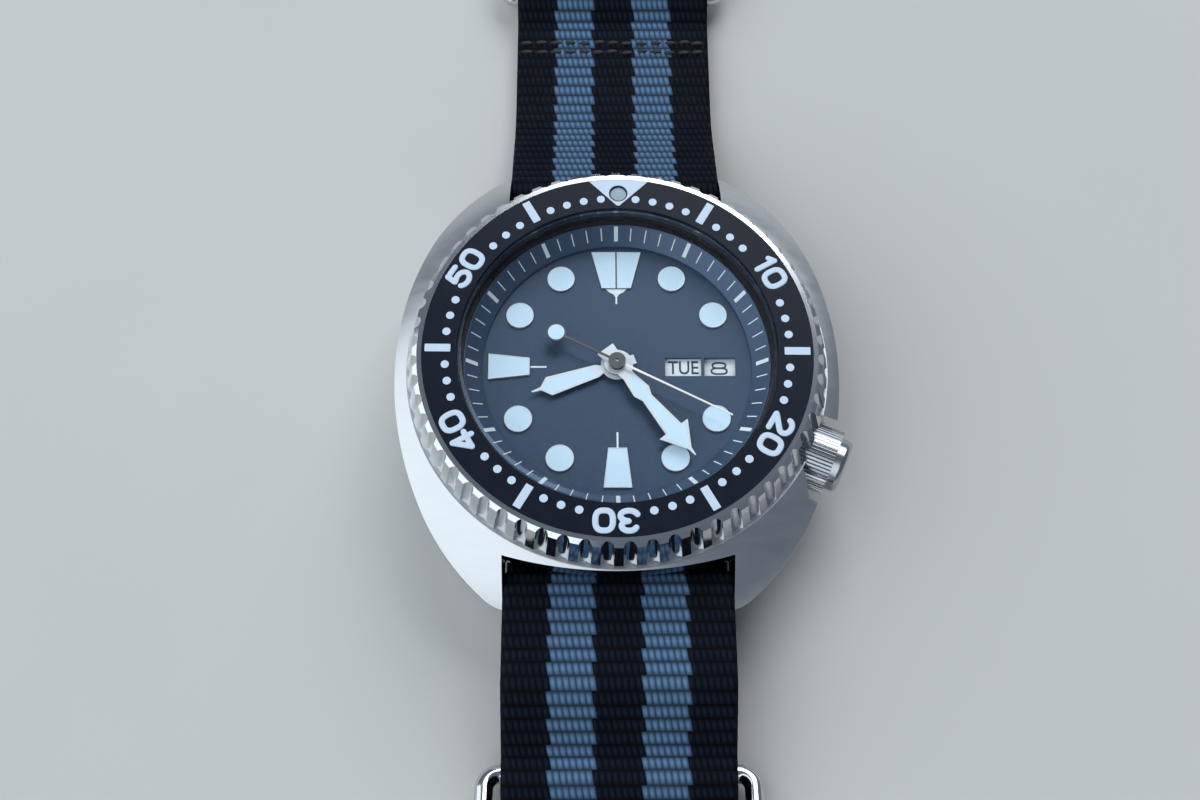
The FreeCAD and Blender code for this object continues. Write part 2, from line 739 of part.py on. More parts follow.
def hour_hand():
    """A lance: a blade that widens to its shoulder, then a point drawn out into a needle."""
    shoulder = hour_length - 1.8
    needle = hour_length - 0.95
    blade = [(-hand_tail, 0.5), (1.5, 0.4), (2.1, 0.68), (shoulder, 1.02), (needle, 0.17), (hour_length, 0.07)]
    window = [(2.4, 0.46), (shoulder - 0.1, 0.76), (needle - 0.3, 0.15)]
    return hand(blade, hour_bore, z_hour_hand, hour_angle, [window])


def minute_hand():
    """A blade with a swelling and a waist, an arrowhead and a needle; its tail is broad."""
    head = minute_length - 3.4
    needle = minute_length - 0.85
    blade = [(-hand_tail, 0.95), (0, 0.8), (1.9, 0.62), (3.9, 0.92), (4.8, 0.55), (head, 0.95), (head + 0.02, 1.75),
             (needle, 0.17), (minute_length, 0.06)]
    window = [(2.2, 0.38), (3.85, 0.64), (4.7, 0.32), (head + 0.05, 0.7), (head + 0.22, 1.2), (needle - 0.3, 0.14)]
    return hand(blade, minute_bore, z_minute_hand, minute_angle, [window])


def second_hand():
    needle = [(-second_tail, 0.13), (second_length, 0.07)]
    blade = hand(needle, seconds_bore, z_second_hand, second_angle)[0]
    low, top = z_second_hand, z_second_hand + hand_thick
    spot = polar(-second_tail, 90 - second_angle)
    plate = disc(second_dot_radius + 0.15, low, top, spot)
    hub = tube(seconds_bore, second_hub_radius, low, top + hub_rise)
    dot = disc(second_dot_radius, top - hand_lume_thick, top, spot)
    return fused([blade, plate, hub]).cut(dot), [dot]


# ---- Crown and keyless works ---------------------------------------------------------------------------------
def crown():
    foot, top = crown_start, crown_start + crown_length
    barrel = disc(crown_radius, foot, top)
    v_cut = prism([(crown_radius - crown_knurl_depth, 0), (crown_radius + 0.2, -0.2),
                   (crown_radius + 0.2, 0.2)], foot - 1, top + 1)
    barrel = barrel.cut(Part.makeCompound([turned(v_cut,
                                                  n * 360 / crown_knurls) for n in range(crown_knurls)]))
    cap = disc(crown_cap_radius, top, top + crown_cap_length)
    cap = cap.makeFillet(crown_cap_round,
                         [e for e in cap.Edges if e.BoundBox.ZMin > top + crown_cap_length / 2])
    bore = tube_radius + wall_fit
    hollow = disc(bore, foot - 1, tube_end + 0.3)
    groove = disc(bore + crown_seal_thick, tube_end - 1.1, tube_end - 0.5)
    return crown_side(cut_all(barrel.fuse(cap).removeSplitter(), [hollow, groove]))


def crown_gasket():
    bore = tube_radius + wall_fit
    return crown_side(tube(bore, bore + crown_seal_thick, tube_end - 1.1, tube_end - 0.5))


def crown_tube():
    return crown_side(tube(tube_radius - tube_wall, tube_radius, tube_start, tube_end))


def winding_stem():
    """From inside out: pilot, square for the clutch, round seat with the setting lever's groove, crown end."""
    half = stem_square / 2
    seat_start = pinion_end - 0.3
    square = Part.makeBox(stem_square, stem_square, seat_start - stem_pilot_end,
                          V(-half, -half, stem_pilot_end))
    parts = [disc(half * 0.8, stem_end, stem_pilot_end), square,
             disc(stem_radius, seat_start, tube_end + 0.3)]
    groove = tube(groove_root, stem_radius + 1, groove_at - groove_width / 2, groove_at + groove_width / 2)
    return crown_side(fused(parts).cut(groove))


def keyless_gear(start, end, square_hole):
    body = prism(toothed_outline(keyless_teeth, 2 * clutch_radius / (keyless_teeth + 2), 0), start, end)
    side = stem_square + 2 * wall_fit
    if square_hole:
        return crown_side(body.cut(Part.makeBox(side, side, end - start + 2,
                                                V(-side / 2, -side / 2, start - 1))))
    return crown_side(body.cut(disc(stem_radius + wall_fit, start - 1, end + 1)))


def setting_lever():
    """Swings about its pin; its peg stands in the stem's groove and swings out as the crown is pulled."""
    swing = math.asin(crown_travel / 2 / lever_length)
    across = crown_angle + 90
    pin = polar(groove_at + crown_travel / 2, crown_angle) + polar(lever_length, across)
    peg = pin - polar(lever_length, across - math.degrees(swing))
    low = z_bridge_top + wall_fit
    half = 0.4
    middle = (pin + peg) * 0.5
    plate = turned(Part.makeBox(lever_length, 2 * half, lever_thick, V(-lever_length / 2, -half, low)),
                   math.degrees(math.atan2(peg.y - pin.y, peg.x - pin.x)), V(middle.x, middle.y, 0))
    ends = [disc(half, low, low + lever_thick, at) for at in (pin, peg)]
    posts = [disc(lever_pin_radius, low, z_plate + 0.5, pin),
             disc(lever_peg_radius, low, z_crown - groove_root - wall_fit, peg)]
    return fused([plate] + ends + posts)


# ---- Movement ------------------------------------------------------------------------------------------------
third_at = polar(third_distance, third_angle)
escape_at = polar(escape_distance, escape_angle)
barrel_at = polar(barrel_distance, barrel_angle)
fork_at = polar(fork_distance, escape_angle)
balance_at = polar(balance_distance, escape_angle)
motion_at = polar(motion_distance, motion_angle)
posts_at = [polar(post_at, angle) for angle in post_angles]
cock_post = polar(post_at, cock_post_angle)
center_module = 2 * third_distance / (center_teeth + third_pinion_teeth)
third_module = 2 * third_distance / (third_teeth + fourth_pinion_teeth)
fourth_module = 2 * escape_distance / (fourth_teeth + escape_pinion_teeth)
barrel_module = 2 * barrel_distance / (barrel_teeth + center_pinion_teeth)
cannon_module = 2 * motion_distance / (cannon_teeth + minute_wheel_teeth)
hour_module = 2 * motion_distance / (minute_pinion_teeth + hour_wheel_teeth)


def upper_jewels():
    """Where the train runs in the main plate."""
    return [third_at, escape_at, fork_at, balance_at]


def main_plate():
    plate = disc(plate_radius, z_plate, z_plate_top)
    cuts = [disc(recess_radius, z_plate_top - recess_depth, z_plate_top + 1),
            disc(center_hole, z_plate - 1, z_plate_top),
            disc(arbor_radius + wall_fit, z_plate - 1, z_plate + jewel_thick, barrel_at)]
    cuts += [disc(jewel_radius, z_plate - 1, z_plate + jewel_thick, at) for at in upper_jewels()]
    keyway = Part.makeBox(2 * clutch_radius + 0.4, 2 * clutch_radius + 0.4, plate_radius,
                          V(-clutch_radius - 0.2, -clutch_radius - 0.2, stem_end - 0.3))
    pin = polar(groove_at + crown_travel / 2, crown_angle) + polar(lever_length, crown_angle + 90)
    cuts += [crown_side(keyway), disc(lever_pin_radius + wall_fit, z_plate - 1, z_plate + 0.6, pin)]
    plate = cut_all(plate, cuts)
    motion_post = disc(arbor_radius, z_plate_top - recess_depth, z_plate_top - 0.1, motion_at)
    pillars = [disc(post_radius, z_bridge_top, z_plate, at) for at in posts_at + [cock_post]]
    return fused([plate, motion_post] + pillars)


def plate_jewels():
    ring = [tube(pivot_radius + 0.02, jewel_radius, z_plate, z_plate + jewel_thick,
                 at) for at in upper_jewels()]
    low = [tube(pivot_radius + 0.02, jewel_radius, z_bridge_top - jewel_thick, z_bridge_top, at)
           for at in (third_at, escape_at, V(0, 0, 0), balance_at)]
    fork = tube(pivot_radius + 0.02, jewel_radius, z_fork_bridge, z_fork_bridge + jewel_thick, fork_at)
    return ring + low + [fork]


def cock_outline():
    """The balance cock seen from below: a round end over the balance, an arm and a round foot."""
    arm = cock_post - balance_at
    side = V(-arm.y, arm.x, 0) * (cock_half / arm.Length)
    spine = prism([(p.x, p.y) for p in (balance_at + side, balance_at - side, cock_post - side,
                                        cock_post + side)],
                  z_bridge, z_bridge_top)
    return fused([spine, disc(cock_half, z_bridge, z_bridge_top, balance_at),
                  disc(cock_half, z_bridge, z_bridge_top, cock_post)])


def screw_holes(spots):
    return [disc(screw_shank, z_bridge - 1, z_bridge_top + 1, at) for at in spots]


def train_bridge():
    plate = disc(plate_radius, z_bridge, z_bridge_top)
    clear = balance_radius + 0.5
    arm = cock_post - balance_at
    side = V(-arm.y, arm.x, 0) * ((cock_half + 0.25) / arm.Length)
    out = arm * (1 + 3 / arm.Length)
    gap = prism([(p.x, p.y) for p in (balance_at + side, balance_at - side, balance_at + out - side,
                                      balance_at + out + side)],
                z_bridge - 1, z_bridge_top + 1)
    cuts = [disc(clear, z_bridge - 1, z_bridge_top + 1, balance_at), gap,
            disc(cock_half + 0.25, z_bridge - 1, z_bridge_top + 1, cock_post)]
    mouth = [balance_at + polar(clear, escape_angle - 90), balance_at + polar(clear, escape_angle + 90)]
    far = [p + polar(plate_radius, escape_angle) for p in mouth]
    cuts.append(prism([(p.x, p.y) for p in (mouth[0], far[0], far[1], mouth[1])], z_bridge - 1,
                      z_bridge_top + 1))
    jewels_at = [third_at, escape_at, V(0, 0, 0)]
    cuts += [disc(jewel_radius, z_bridge_top - jewel_thick, z_bridge_top + 1, at) for at in jewels_at]
    cuts += [disc(arbor_radius + wall_fit, z_bridge_top - jewel_thick, z_bridge_top + 1,
                  barrel_at)] + screw_holes(posts_at)
    return max(cut_all(plate, cuts).Solids, key=lambda solid: solid.Volume)


def balance_bridge():
    cock = cock_outline().common(disc(plate_radius, z_bridge, z_bridge_top))
    jewel_hole = disc(jewel_radius, z_bridge_top - jewel_thick, z_bridge_top + 1, balance_at)
    return cut_all(cock, [jewel_hole] + screw_holes([cock_post]))


def bridge_screws():
    screws = []
    for at in posts_at + [cock_post]:
        head = disc(screw_head_radius, z_bridge - screw_head_thick, z_bridge, at)
        slot = Part.makeBox(3 * screw_head_radius, 0.16, 0.1,
                            V(at.x - 1.5 * screw_head_radius, at.y - 0.08, z_bridge - screw_head_thick))
        screws.append(fused([head, disc(screw_shank - 0.02, z_bridge, z_bridge_top, at)]).cut(slot))
    return screws


def movement_holder():
    ring = tube(plate_radius + holder_fit, bore_radius - holder_fit, z_bridge, z_dial_under)
    return ring.cut(crown_side(disc(stem_radius + 0.2, plate_radius - 1, bore_radius + 1)))


def mainspring_barrel():
    low, top = z_bridge_top + 0.35, z_bridge_top + 1.45
    phase = meshed_phase(0, center_pinion_teeth, barrel_teeth, barrel_angle)
    teeth = gear(barrel_teeth, barrel_module, phase, top - 0.3, top)
    drum = fused([teeth, disc(barrel_drum, low, top)])
    hollow = disc(barrel_drum - barrel_wall, low + 0.15, top - 0.15)
    return turned(drum.cut(hollow).cut(disc(arbor_radius + 0.02, low - 1, top + 1)), 0, barrel_at)


def barrel_arbor():
    low, top = z_bridge_top + 0.5, z_bridge_top + 1.3
    return fused([disc(arbor_radius, z_bridge_top - jewel_thick, z_plate + jewel_thick, barrel_at),
                  disc(barrel_core, low + 0.02, top - 0.02, barrel_at)])


def mainspring():
    low, top = z_bridge_top + 0.55, z_bridge_top + 1.25
    coil = spiral(barrel_core + 0.1, barrel_drum - barrel_wall - 0.1, mainspring_turns,
                  mainspring_thick, low, top)
    return turned(coil, 0, barrel_at)


def center_wheel():
    top = z_plate - 0.33
    wheel = gear(center_teeth, center_module, 0, top - wheel_thick, top, center_arbor, 5)
    pinion = gear(center_pinion_teeth, barrel_module, 0, z_bridge_top + 0.85, z_plate - 0.6, 0)
    arbor_body = disc(center_arbor, z_plate - 0.6, z_plate_top - recess_depth + 0.5)
    return fused([wheel.fuse(disc(center_arbor, top - wheel_thick, top)), pinion,
                  arbor_body]).cut(disc(center_bore, z_bridge_top, z_dial))


def cannon_pinion():
    low = z_plate_top - recess_depth + 0.06
    teeth = gear(cannon_teeth, cannon_module, 0, low, low + 0.34)
    pipe = disc(minute_bore, low + 0.34, z_minute_hand + hand_thick)
    bore = disc(center_arbor, low - 1, z_plate_top - recess_depth + 0.5).fuse(disc(center_bore,
                                                                                   low - 1, z_dial + 5))
    return teeth.fuse(pipe).removeSplitter().cut(bore)


def minute_wheel():
    low = z_plate_top - recess_depth + 0.1
    wheel = gear(minute_wheel_teeth, cannon_module, meshed_phase(0, cannon_teeth, minute_wheel_teeth,
                                                                 motion_angle), low, low + 0.2)
    pinion = gear(minute_pinion_teeth, hour_module, 0, low + 0.2, low + 0.6)
    return turned(wheel.fuse(pinion).removeSplitter().cut(disc(arbor_radius + 0.02, low - 1, low + 2)),
                  0, motion_at)


def hour_wheel():
    low = z_plate_top - recess_depth + 0.5
    phase = meshed_phase(0, minute_pinion_teeth, hour_wheel_teeth, motion_angle + 180)
    wheel = gear(hour_wheel_teeth, hour_module, phase, low, low + 0.15)
    pipe = disc(hour_bore, low, z_hour_hand + hand_thick)
    return wheel.fuse(pipe).removeSplitter().cut(disc(minute_bore + 0.05, low - 1, z_dial + 5))


def third_wheel():
    low = z_bridge_top + 0.4
    phase = meshed_phase(0, center_teeth, third_pinion_teeth, third_angle)
    pinion = gear(third_pinion_teeth, center_module, phase, z_plate - 0.52, z_plate - 0.25)
    wheel = gear(third_teeth, third_module, 0, low, low + wheel_thick, arbor_radius,
                 4).fuse(disc(arbor_radius, low, low + wheel_thick))
    return fused([turned(wheel, 0, third_at), turned(pinion, 0, third_at), train_arbor(third_at)])


def train_arbor(at, foot=None):
    """A wheel's arbor with a thin pivot at each end, which run in the jewels of plate and bridge."""
    foot = z_bridge_top if foot is None else foot
    body = disc(arbor_radius, foot + pivot_radius, z_plate - pivot_radius, at)
    return fused([body, disc(pivot_radius, foot - jewel_thick + 0.02, z_plate + jewel_thick - 0.02, at)])


def fourth_wheel():
    low = z_bridge_top + 0.12
    phase = meshed_phase(0, third_teeth, fourth_pinion_teeth, third_angle + 180)
    pinion = gear(fourth_pinion_teeth, third_module, phase, low + 0.22, low + 0.5)
    wheel = gear(fourth_teeth, fourth_module, 0, low, low + wheel_thick, arbor_radius,
                 5).fuse(disc(arbor_radius, low, low + wheel_thick))
    shaft = disc(seconds_bore, low, z_second_hand + hand_thick)
    return fused([wheel, pinion, shaft, disc(pivot_radius, z_bridge_top - jewel_thick + 0.02, low)])


def escape_wheel():
    low = z_escape
    step = math.tau / escape_teeth
    points = []
    for n in range(escape_teeth):
        for share, radius in ((0.0, escape_radius), (0.12, escape_radius), (0.3, escape_radius - 0.55),
                              (0.75, escape_radius - 0.55)):
            points.append((radius * math.cos((n + share) * step), radius * math.sin((n + share) * step)))
    rim = prism(points, low, low + wheel_thick)
    window = tube(0.5, escape_radius - 0.85, low - 1, low + 1)
    for n in range(5):
        window = window.cut(turned(Part.makeBox(escape_radius, 2 * spoke_half, 2,
                                                V(0, -spoke_half, low - 1)), n * 72))
    pinion = gear(escape_pinion_teeth, fourth_module,
                  meshed_phase(0, fourth_teeth, escape_pinion_teeth, escape_angle),
                  z_bridge_top + 0.08, z_bridge_top + 0.3)
    return fused([turned(rim.cut(window), 0, escape_at), turned(pinion, 0, escape_at),
                  train_arbor(escape_at)])


def pallet_fork():
    """A lever with two pallet arms that reach the escape wheel and a fork towards the balance."""
    low = z_escape
    arms = prism([(-0.55, -1.9), (-0.2, -1.95), (0.25, 0), (-0.2, 1.95), (-0.55, 1.9), (-0.25, 0)],
                 low, low + wheel_thick)
    tail = Part.makeBox(fork_tail, 0.4, wheel_thick, V(0, -0.2, low))
    notch = Part.makeBox(0.5, 0.16, 1, V(fork_tail - 0.4, -0.08, low - 0.5))
    lever = fused([arms, tail]).cut(notch)
    return fused([turned(lever, escape_angle, fork_at), train_arbor(fork_at, z_fork_bridge + jewel_thick)])


def pallet_bridge():
    """A small bridge under the main plate, on two feet, that carries the lower pivot of the pallet fork."""
    top = z_fork_bridge + jewel_thick
    half = 0.8
    strip = Part.makeBox(2 * half, 2 * fork_foot_at, jewel_thick, V(-half, -fork_foot_at, z_fork_bridge))
    feet = [disc(half, z_fork_bridge, z_plate, V(0, side * fork_foot_at, 0)) for side in (1, -1)]
    bridge = fused([strip] + feet).cut(disc(jewel_radius, z_fork_bridge - 1, top + 1))
    return turned(bridge, escape_angle, fork_at)


def balance_wheel():
    low = z_bridge_top + 0.45
    rim = tube(balance_radius - balance_rim, balance_radius, low, low + 0.3)
    arms = [turned(Part.makeBox(2 * balance_radius - balance_rim, 2 * spoke_half, 0.15,
                                V(-balance_radius + balance_rim / 2, -spoke_half,
                                  low)), n * 90) for n in (0, 1)]
    roller = disc(0.6, low, low + 0.4)
    wheel = fused([rim, roller] + arms)
    return fused([turned(wheel, escape_angle, balance_at), train_arbor(balance_at)])


def hairspring():
    low = z_bridge_top + 0.2
    return turned(spiral(hairspring_inner, hairspring_outer, hairspring_turns, hairspring_thick, low,
                         low + 0.14), 0, balance_at)


def date_disc():
    low = z_plate_top + 0.06
    ring = tube(date_inner, date_outer, low, low + disc_thick)
    notch = Part.makeBox(0.5, 0.5, 2, V(date_inner - 0.1, -0.25, low - 1))
    return ring.cut(Part.makeCompound([turned(notch, n * 360 / date_teeth) for n in range(date_teeth)]))


def day_disc():
    low = z_plate_top + 0.06 + disc_thick + 0.06
    return tube(day_inner, day_outer, low, low + disc_thick)


def rotor():
    """The winding weight: a half ring of heavy metal on a thin half disc, turning on the middle axle."""
    low = z_rotor_top - rotor_rim_thick
    half_plane = Part.makeBox(4 * rotor_radius, 2 * rotor_radius, 4,
                              V(-2 * rotor_radius, -2 * rotor_radius, low - 1))
    rim = tube(rotor_radius - rotor_rim_width, rotor_radius, low, z_rotor_top)
    web = disc(rotor_radius - rotor_rim_width, z_rotor_top - rotor_web_thick, z_rotor_top)
    weight = fused([rim, web]).common(half_plane)
    hub = disc(rotor_hub_radius, z_rotor_top - rotor_rim_thick / 2, z_rotor_top)
    return fused([weight, hub]).cut(disc(axle_radius + wall_fit, low - 1, z_rotor_top + 1))


def rotor_axle():
    head = disc(axle_radius + 0.5, z_rotor_top - rotor_rim_thick / 2 - wall_fit - 0.15,
                z_rotor_top - rotor_rim_thick / 2 - wall_fit)
    return fused([disc(axle_radius, head.BoundBox.ZMax, z_bridge), head])


# ---- Strap, rings and buckle ---------------------------------------------------------------------------------
def band(path, width, thick):
    """A strap as wide as given, on a middle line of (y, z, corner radius) points."""
    points = [V(0, y, z) for y, z, radius in path]
    radii = [radius for y, z, radius in path]
    runs = []  # (kind, normal-bearing points) of the middle line
    last = points[0]
    for n in range(1, len(points) - 1):
        before = (points[n] - points[n - 1]).normalize()
        after = (points[n + 1] - points[n]).normalize()
        turn = math.atan2(before.y * after.z - before.z * after.y, before.dot(after))
        trim = radii[n] * math.tan(abs(turn) / 2)
        start, end = points[n] - before * trim, points[n] + after * trim
        runs.append((last, start, before, None, 0.0))
        runs.append((start, end, before, after, math.copysign(radii[n], turn)))
        last = end
    runs.append((last, points[-1], (points[-1] - last).normalize(), None, 0.0))
    left, right = (band_side(runs, side * thick / 2) for side in (1, -1))
    ends = [line(left[0].Vertexes[0].Point, right[0].Vertexes[0].Point),
            line(left[-1].Vertexes[-1].Point, right[-1].Vertexes[-1].Point)]
    wire = Part.Wire(Part.__sortEdges__(left + [ends[1]] + right + [ends[0]]))
    strip = Part.Face(wire).extrude(V(width, 0, 0))
    strip.translate(V(-width / 2, 0, 0))
    return strip


def band_side(runs, offset):
    """The lines and arcs of one side of a band: the middle line moved sideways by offset."""
    edges = []
    for start, end, before, after, radius in runs:
        def shifted(point, heading):
            return point + V(0, -heading.z, heading.y) * offset
        if after is None:
            if (end - start).Length > 1e-6:
                edges.append(line(shifted(start, before), shifted(end, before)))
        else:
            middle_heading = (before + after).normalize()
            centre = start + V(0, -before.z, before.y) * radius
            middle = centre - V(0, -middle_heading.z, middle_heading.y) * radius
            edges.append(arc(shifted(start, before), shifted(middle, middle_heading), shifted(end, after)))
    return edges


def over_spring_bar(side, foot_y, foot_z):
    """Corners of the strap's line up between case and spring bar, over the bar and down towards a foot."""
    reach = bar_radius + bar_fit + strap_thick / 2
    dy, dz = foot_y - bar_y, z_bar - foot_z
    slope = math.atan2(dz, dy) + math.asin(reach / math.hypot(dy, dz))
    over = z_bar + reach
    corners = [(bar_y - reach, z_high_layer, fold_radius), (bar_y - reach, over, reach),
               (bar_y + reach * math.tan(slope / 2), over, reach)]
    return [(side * y, z, radius) for y, z, radius in corners]


def pocket(bar_at):
    """Corners of the upper layer where it passes over a ring's bar, from the watch outwards."""
    top = z_over_bar
    near, far = bar_at - pocket_top / 2, bar_at + pocket_top / 2
    return [(near - pocket_run, z_high_layer, 1.2), (near, top, 1.2), (far, top, 1.2),
            (far + pocket_run, z_high_layer, 1.2)]


def strap_main():
    wrap_out = buckle_bar_y + wrap_radius
    over = z_over_bar + strap_thick + layer_gap
    tail = [(strap_tail_y, z_low_layer, 0), (tail_foot_y, z_low_layer, 4.0),
            (keeper_end_y - pocket_top / 2, over, 2.0),
            (keeper_end_y + pocket_top / 2, over, 2.0), (sag_y, z_high_layer + sag_lift, 3.0)]
    under_6 = [(y, z, r) for y, z, r in reversed(over_spring_bar(-1, -sag_y, z_high_layer + sag_lift))]
    over_12 = over_spring_bar(1, rise_foot_y, z_high_layer)
    buckle_side = [(rise_foot_y, z_high_layer, 12.0)] + pocket(keeper_middle_y) + pocket(keeper_buckle_y)
    wrap = [(buckle_bar_y - pocket_top / 2 - pocket_run, z_high_layer, 1.2),
            (buckle_bar_y - pocket_top / 2, z_over_bar, 1.2),
            (wrap_out, z_over_bar, wrap_radius), (wrap_out, z_low_layer,
                                                  wrap_radius), (weld_y + short_layer_end + 0.2,
                                                                 z_low_layer, 0)]
    strap = band(tail + under_6 + over_12 + buckle_side + wrap, strap_width, strap_thick)
    slot = Part.makeBox(tongue_slot, 20, 20, V(-tongue_slot / 2, buckle_bar_y - tongue_slot_back, -1))
    holes = [disc(strap_hole_radius, -1, 4, V(0, strap_tail_y + strap_first_hole + n * strap_hole_pitch, 0))
             for n in range(strap_hole_count)]
    tip_y = strap_tail_y + strap_tip_radius
    blank = Part.makeBox(2 * strap_width, strap_tip_radius, 4, V(-strap_width, strap_tail_y, -1))
    rounding = blank.cut(disc(strap_tip_radius, -2, 4, V(0, tip_y, 0)))
    return cut_all(strap, [slot, rounding] + holes)


def strap_under():
    wrap_out = keeper_end_y - wrap_radius
    tab_foot = keeper_end_y + pocket_top / 2 + pocket_run
    path = [(weld_y + short_layer_end, z_low_layer, 0), (wrap_out, z_low_layer, wrap_radius),
            (wrap_out, z_over_bar, wrap_radius),
            (keeper_end_y + pocket_top / 2, z_over_bar, 1.2), (tab_foot, z_high_layer,
                                                               1.2), (tab_foot + fold_tab, z_high_layer, 0)]
    return band(path, strap_width, strap_thick)


def wire_loop(reach):
    """A closed loop of round wire lying flat: one long side on the X axis, the other at +reach."""
    half, r = loop_half_width, loop_corner
    straight = 2 * (half - r)
    parts = [Part.makeCylinder(wire_radius, straight, V(-half + r, y, 0), V(1, 0, 0)) for y in (0, reach)]
    if reach > 2 * r:
        parts += [Part.makeCylinder(wire_radius, reach - 2 * r, V(x, r, 0),
                                    V(0, 1, 0)) for x in (-half, half)]
    for x, y, start in ((half - r, reach - r, 0), (-half + r, reach - r, 90), (-half + r, r, 180),
                        (half - r, r, 270)):
        bend = Part.makeTorus(r, wire_radius, V(0, 0, 0), V(0, 0, 1), 0, 360, 90)
        parts.append(turned(bend, start, V(x, y, 0)))
    return fused(parts)


def hung(shape, y, z, tilt, flip=False):
    """Places a flat-lying piece so that its first bar is at (y, z), and tilts its far end up by tilt degrees."""
    copy = shape.copy()
    spin = FreeCAD.Rotation(V(1, 0, 0), tilt)
    if flip:
        spin = FreeCAD.Rotation(V(0, 0, 1), 180).multiply(spin)
    copy.Placement = FreeCAD.Placement(V(0, y, z), spin).multiply(copy.Placement)
    return copy


def end_ring_tilt():
    """The end ring's tip rests on the tail where the tail slopes down to the ground."""
    top_y, over = keeper_end_y - pocket_top / 2, z_over_bar + strap_thick + layer_gap
    slope = math.atan2(over - z_low_layer, top_y - tail_foot_y)
    tip_run = keeper_end_y - ring_reach - tail_foot_y
    tip_z = z_low_layer + tip_run * math.tan(slope) + wrap_radius / math.cos(slope)
    return math.degrees(math.asin((tip_z + 0.1 - z_held_bar) / ring_reach))


def keeper_tilt():
    return math.degrees(math.asin((z_high_layer + wrap_radius + ring_tip_lift - z_held_bar) / ring_reach))


def buckle_tilt():
    return -math.degrees(math.asin((z_held_bar - wire_radius) / buckle_reach))


def buckle_tongue():
    inner = wire_radius + bar_fit
    half = tongue_width / 2
    eye = Part.makeCylinder(inner + tongue_thick, tongue_width, V(-half, 0, 0), V(1, 0, 0))
    blade = Part.makeBox(tongue_width, buckle_reach + wire_radius + tongue_overhang, tongue_thick,
                         V(-half, 0, inner))
    tongue = eye.fuse(blade).removeSplitter()
    return tongue.cut(Part.makeCylinder(inner, 2 * tongue_width, V(-tongue_width, 0, 0), V(1, 0, 0)))


def spring_bars():
    half = lug_gap / 2 - bar_end_play
    bars = []
    for side in (1, -1):
        barrel = Part.makeCylinder(bar_radius, 2 * half, V(-half, side * bar_y, z_bar), V(1, 0, 0))
        reach = half + bar_end_play + bar_tip_length
        tips = Part.makeCylinder(bar_tip_radius, 2 * reach, V(-reach, side * bar_y, z_bar), V(1, 0, 0))
        bars.append(fused([barrel, tips]))
    return bars


def build():
    os.makedirs("parts", exist_ok=True)
    keep("case_body", case_body())
    keep("case_back", case_back())
    keep("case_back_gasket", case_back_gasket())
    keep("bezel", bezel())
    keep("bezel_gasket", bezel_gasket())
    keep("bezel_insert", bezel_insert())
    keep("bezel_pip", bezel_pip())
    keep("bezel_click_spring", bezel_click_spring())
    keep("crystal", crystal())
    keep("crystal_gasket", crystal_gasket())
    keep("chapter_ring", chapter_ring())
    keep("dial", dial())
    keep("hour_markers", hour_markers())
    for name, made in (("hour_hand", hour_hand()), ("minute_hand", minute_hand()),
                       ("second_hand", second_hand())):
        keep(name, made[0])
        keep(name + "_lume", made[1])
    keep("crown", crown())
    keep("crown_gasket", crown_gasket())
    keep("crown_tube", crown_tube())
    keep("winding_stem", winding_stem())
    keep("sliding_clutch", keyless_gear(clutch_start, clutch_end, True))
    keep("winding_pinion", keyless_gear(pinion_start, pinion_end, False))
    keep("setting_lever", setting_lever())
    keep("main_plate", main_plate())
    keep("jewels", plate_jewels())
    keep("train_bridge", train_bridge())
    keep("balance_bridge", balance_bridge())
    keep("pallet_bridge", pallet_bridge())
    keep("bridge_screws", bridge_screws())
    keep("movement_holder", movement_holder())
    keep("mainspring_barrel", mainspring_barrel())
    keep("barrel_arbor", barrel_arbor())
    keep("mainspring", mainspring())
    keep("center_wheel", center_wheel())
    keep("cannon_pinion", cannon_pinion())
    keep("minute_wheel", minute_wheel())
    keep("hour_wheel", hour_wheel())
    keep("third_wheel", third_wheel())
    keep("fourth_wheel", fourth_wheel())
    keep("escape_wheel", escape_wheel())
    keep("pallet_fork", pallet_fork())
    keep("balance_wheel", balance_wheel())
    keep("hairspring", hairspring())
    keep("date_disc", date_disc())
    keep("day_disc", day_disc())
    keep("rotor", rotor())
    keep("rotor_axle", rotor_axle())
    keep("spring_bars", spring_bars())
    keep("strap_main", strap_main())
    keep("strap_under", strap_under())
    ring = wire_loop(ring_reach)
    keep("keeper_ring_buckle", hung(ring, keeper_buckle_y, z_held_bar, keeper_tilt()))
    keep("keeper_ring_middle", hung(ring, keeper_middle_y, z_held_bar, keeper_tilt()))
    keep("keeper_ring_end", hung(ring, keeper_end_y, z_held_bar, end_ring_tilt(), True))
    keep("buckle_frame", hung(wire_loop(buckle_reach), buckle_bar_y, z_held_bar, buckle_tilt()))
    keep("buckle_tongue", hung(buckle_tongue(), buckle_bar_y, z_held_bar, buckle_tilt()))


build()
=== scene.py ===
# %% [markdown]
# # A dive watch, dressed
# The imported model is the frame: case, bezel, hands and all the movement come from there, in metres. Here
# they get their finishes. The woven strap, the printing and the numerals are built on top of them.

# %% Load the frame
import bpy
import math
import random
import numpy as np
from mathutils import Matrix, Vector


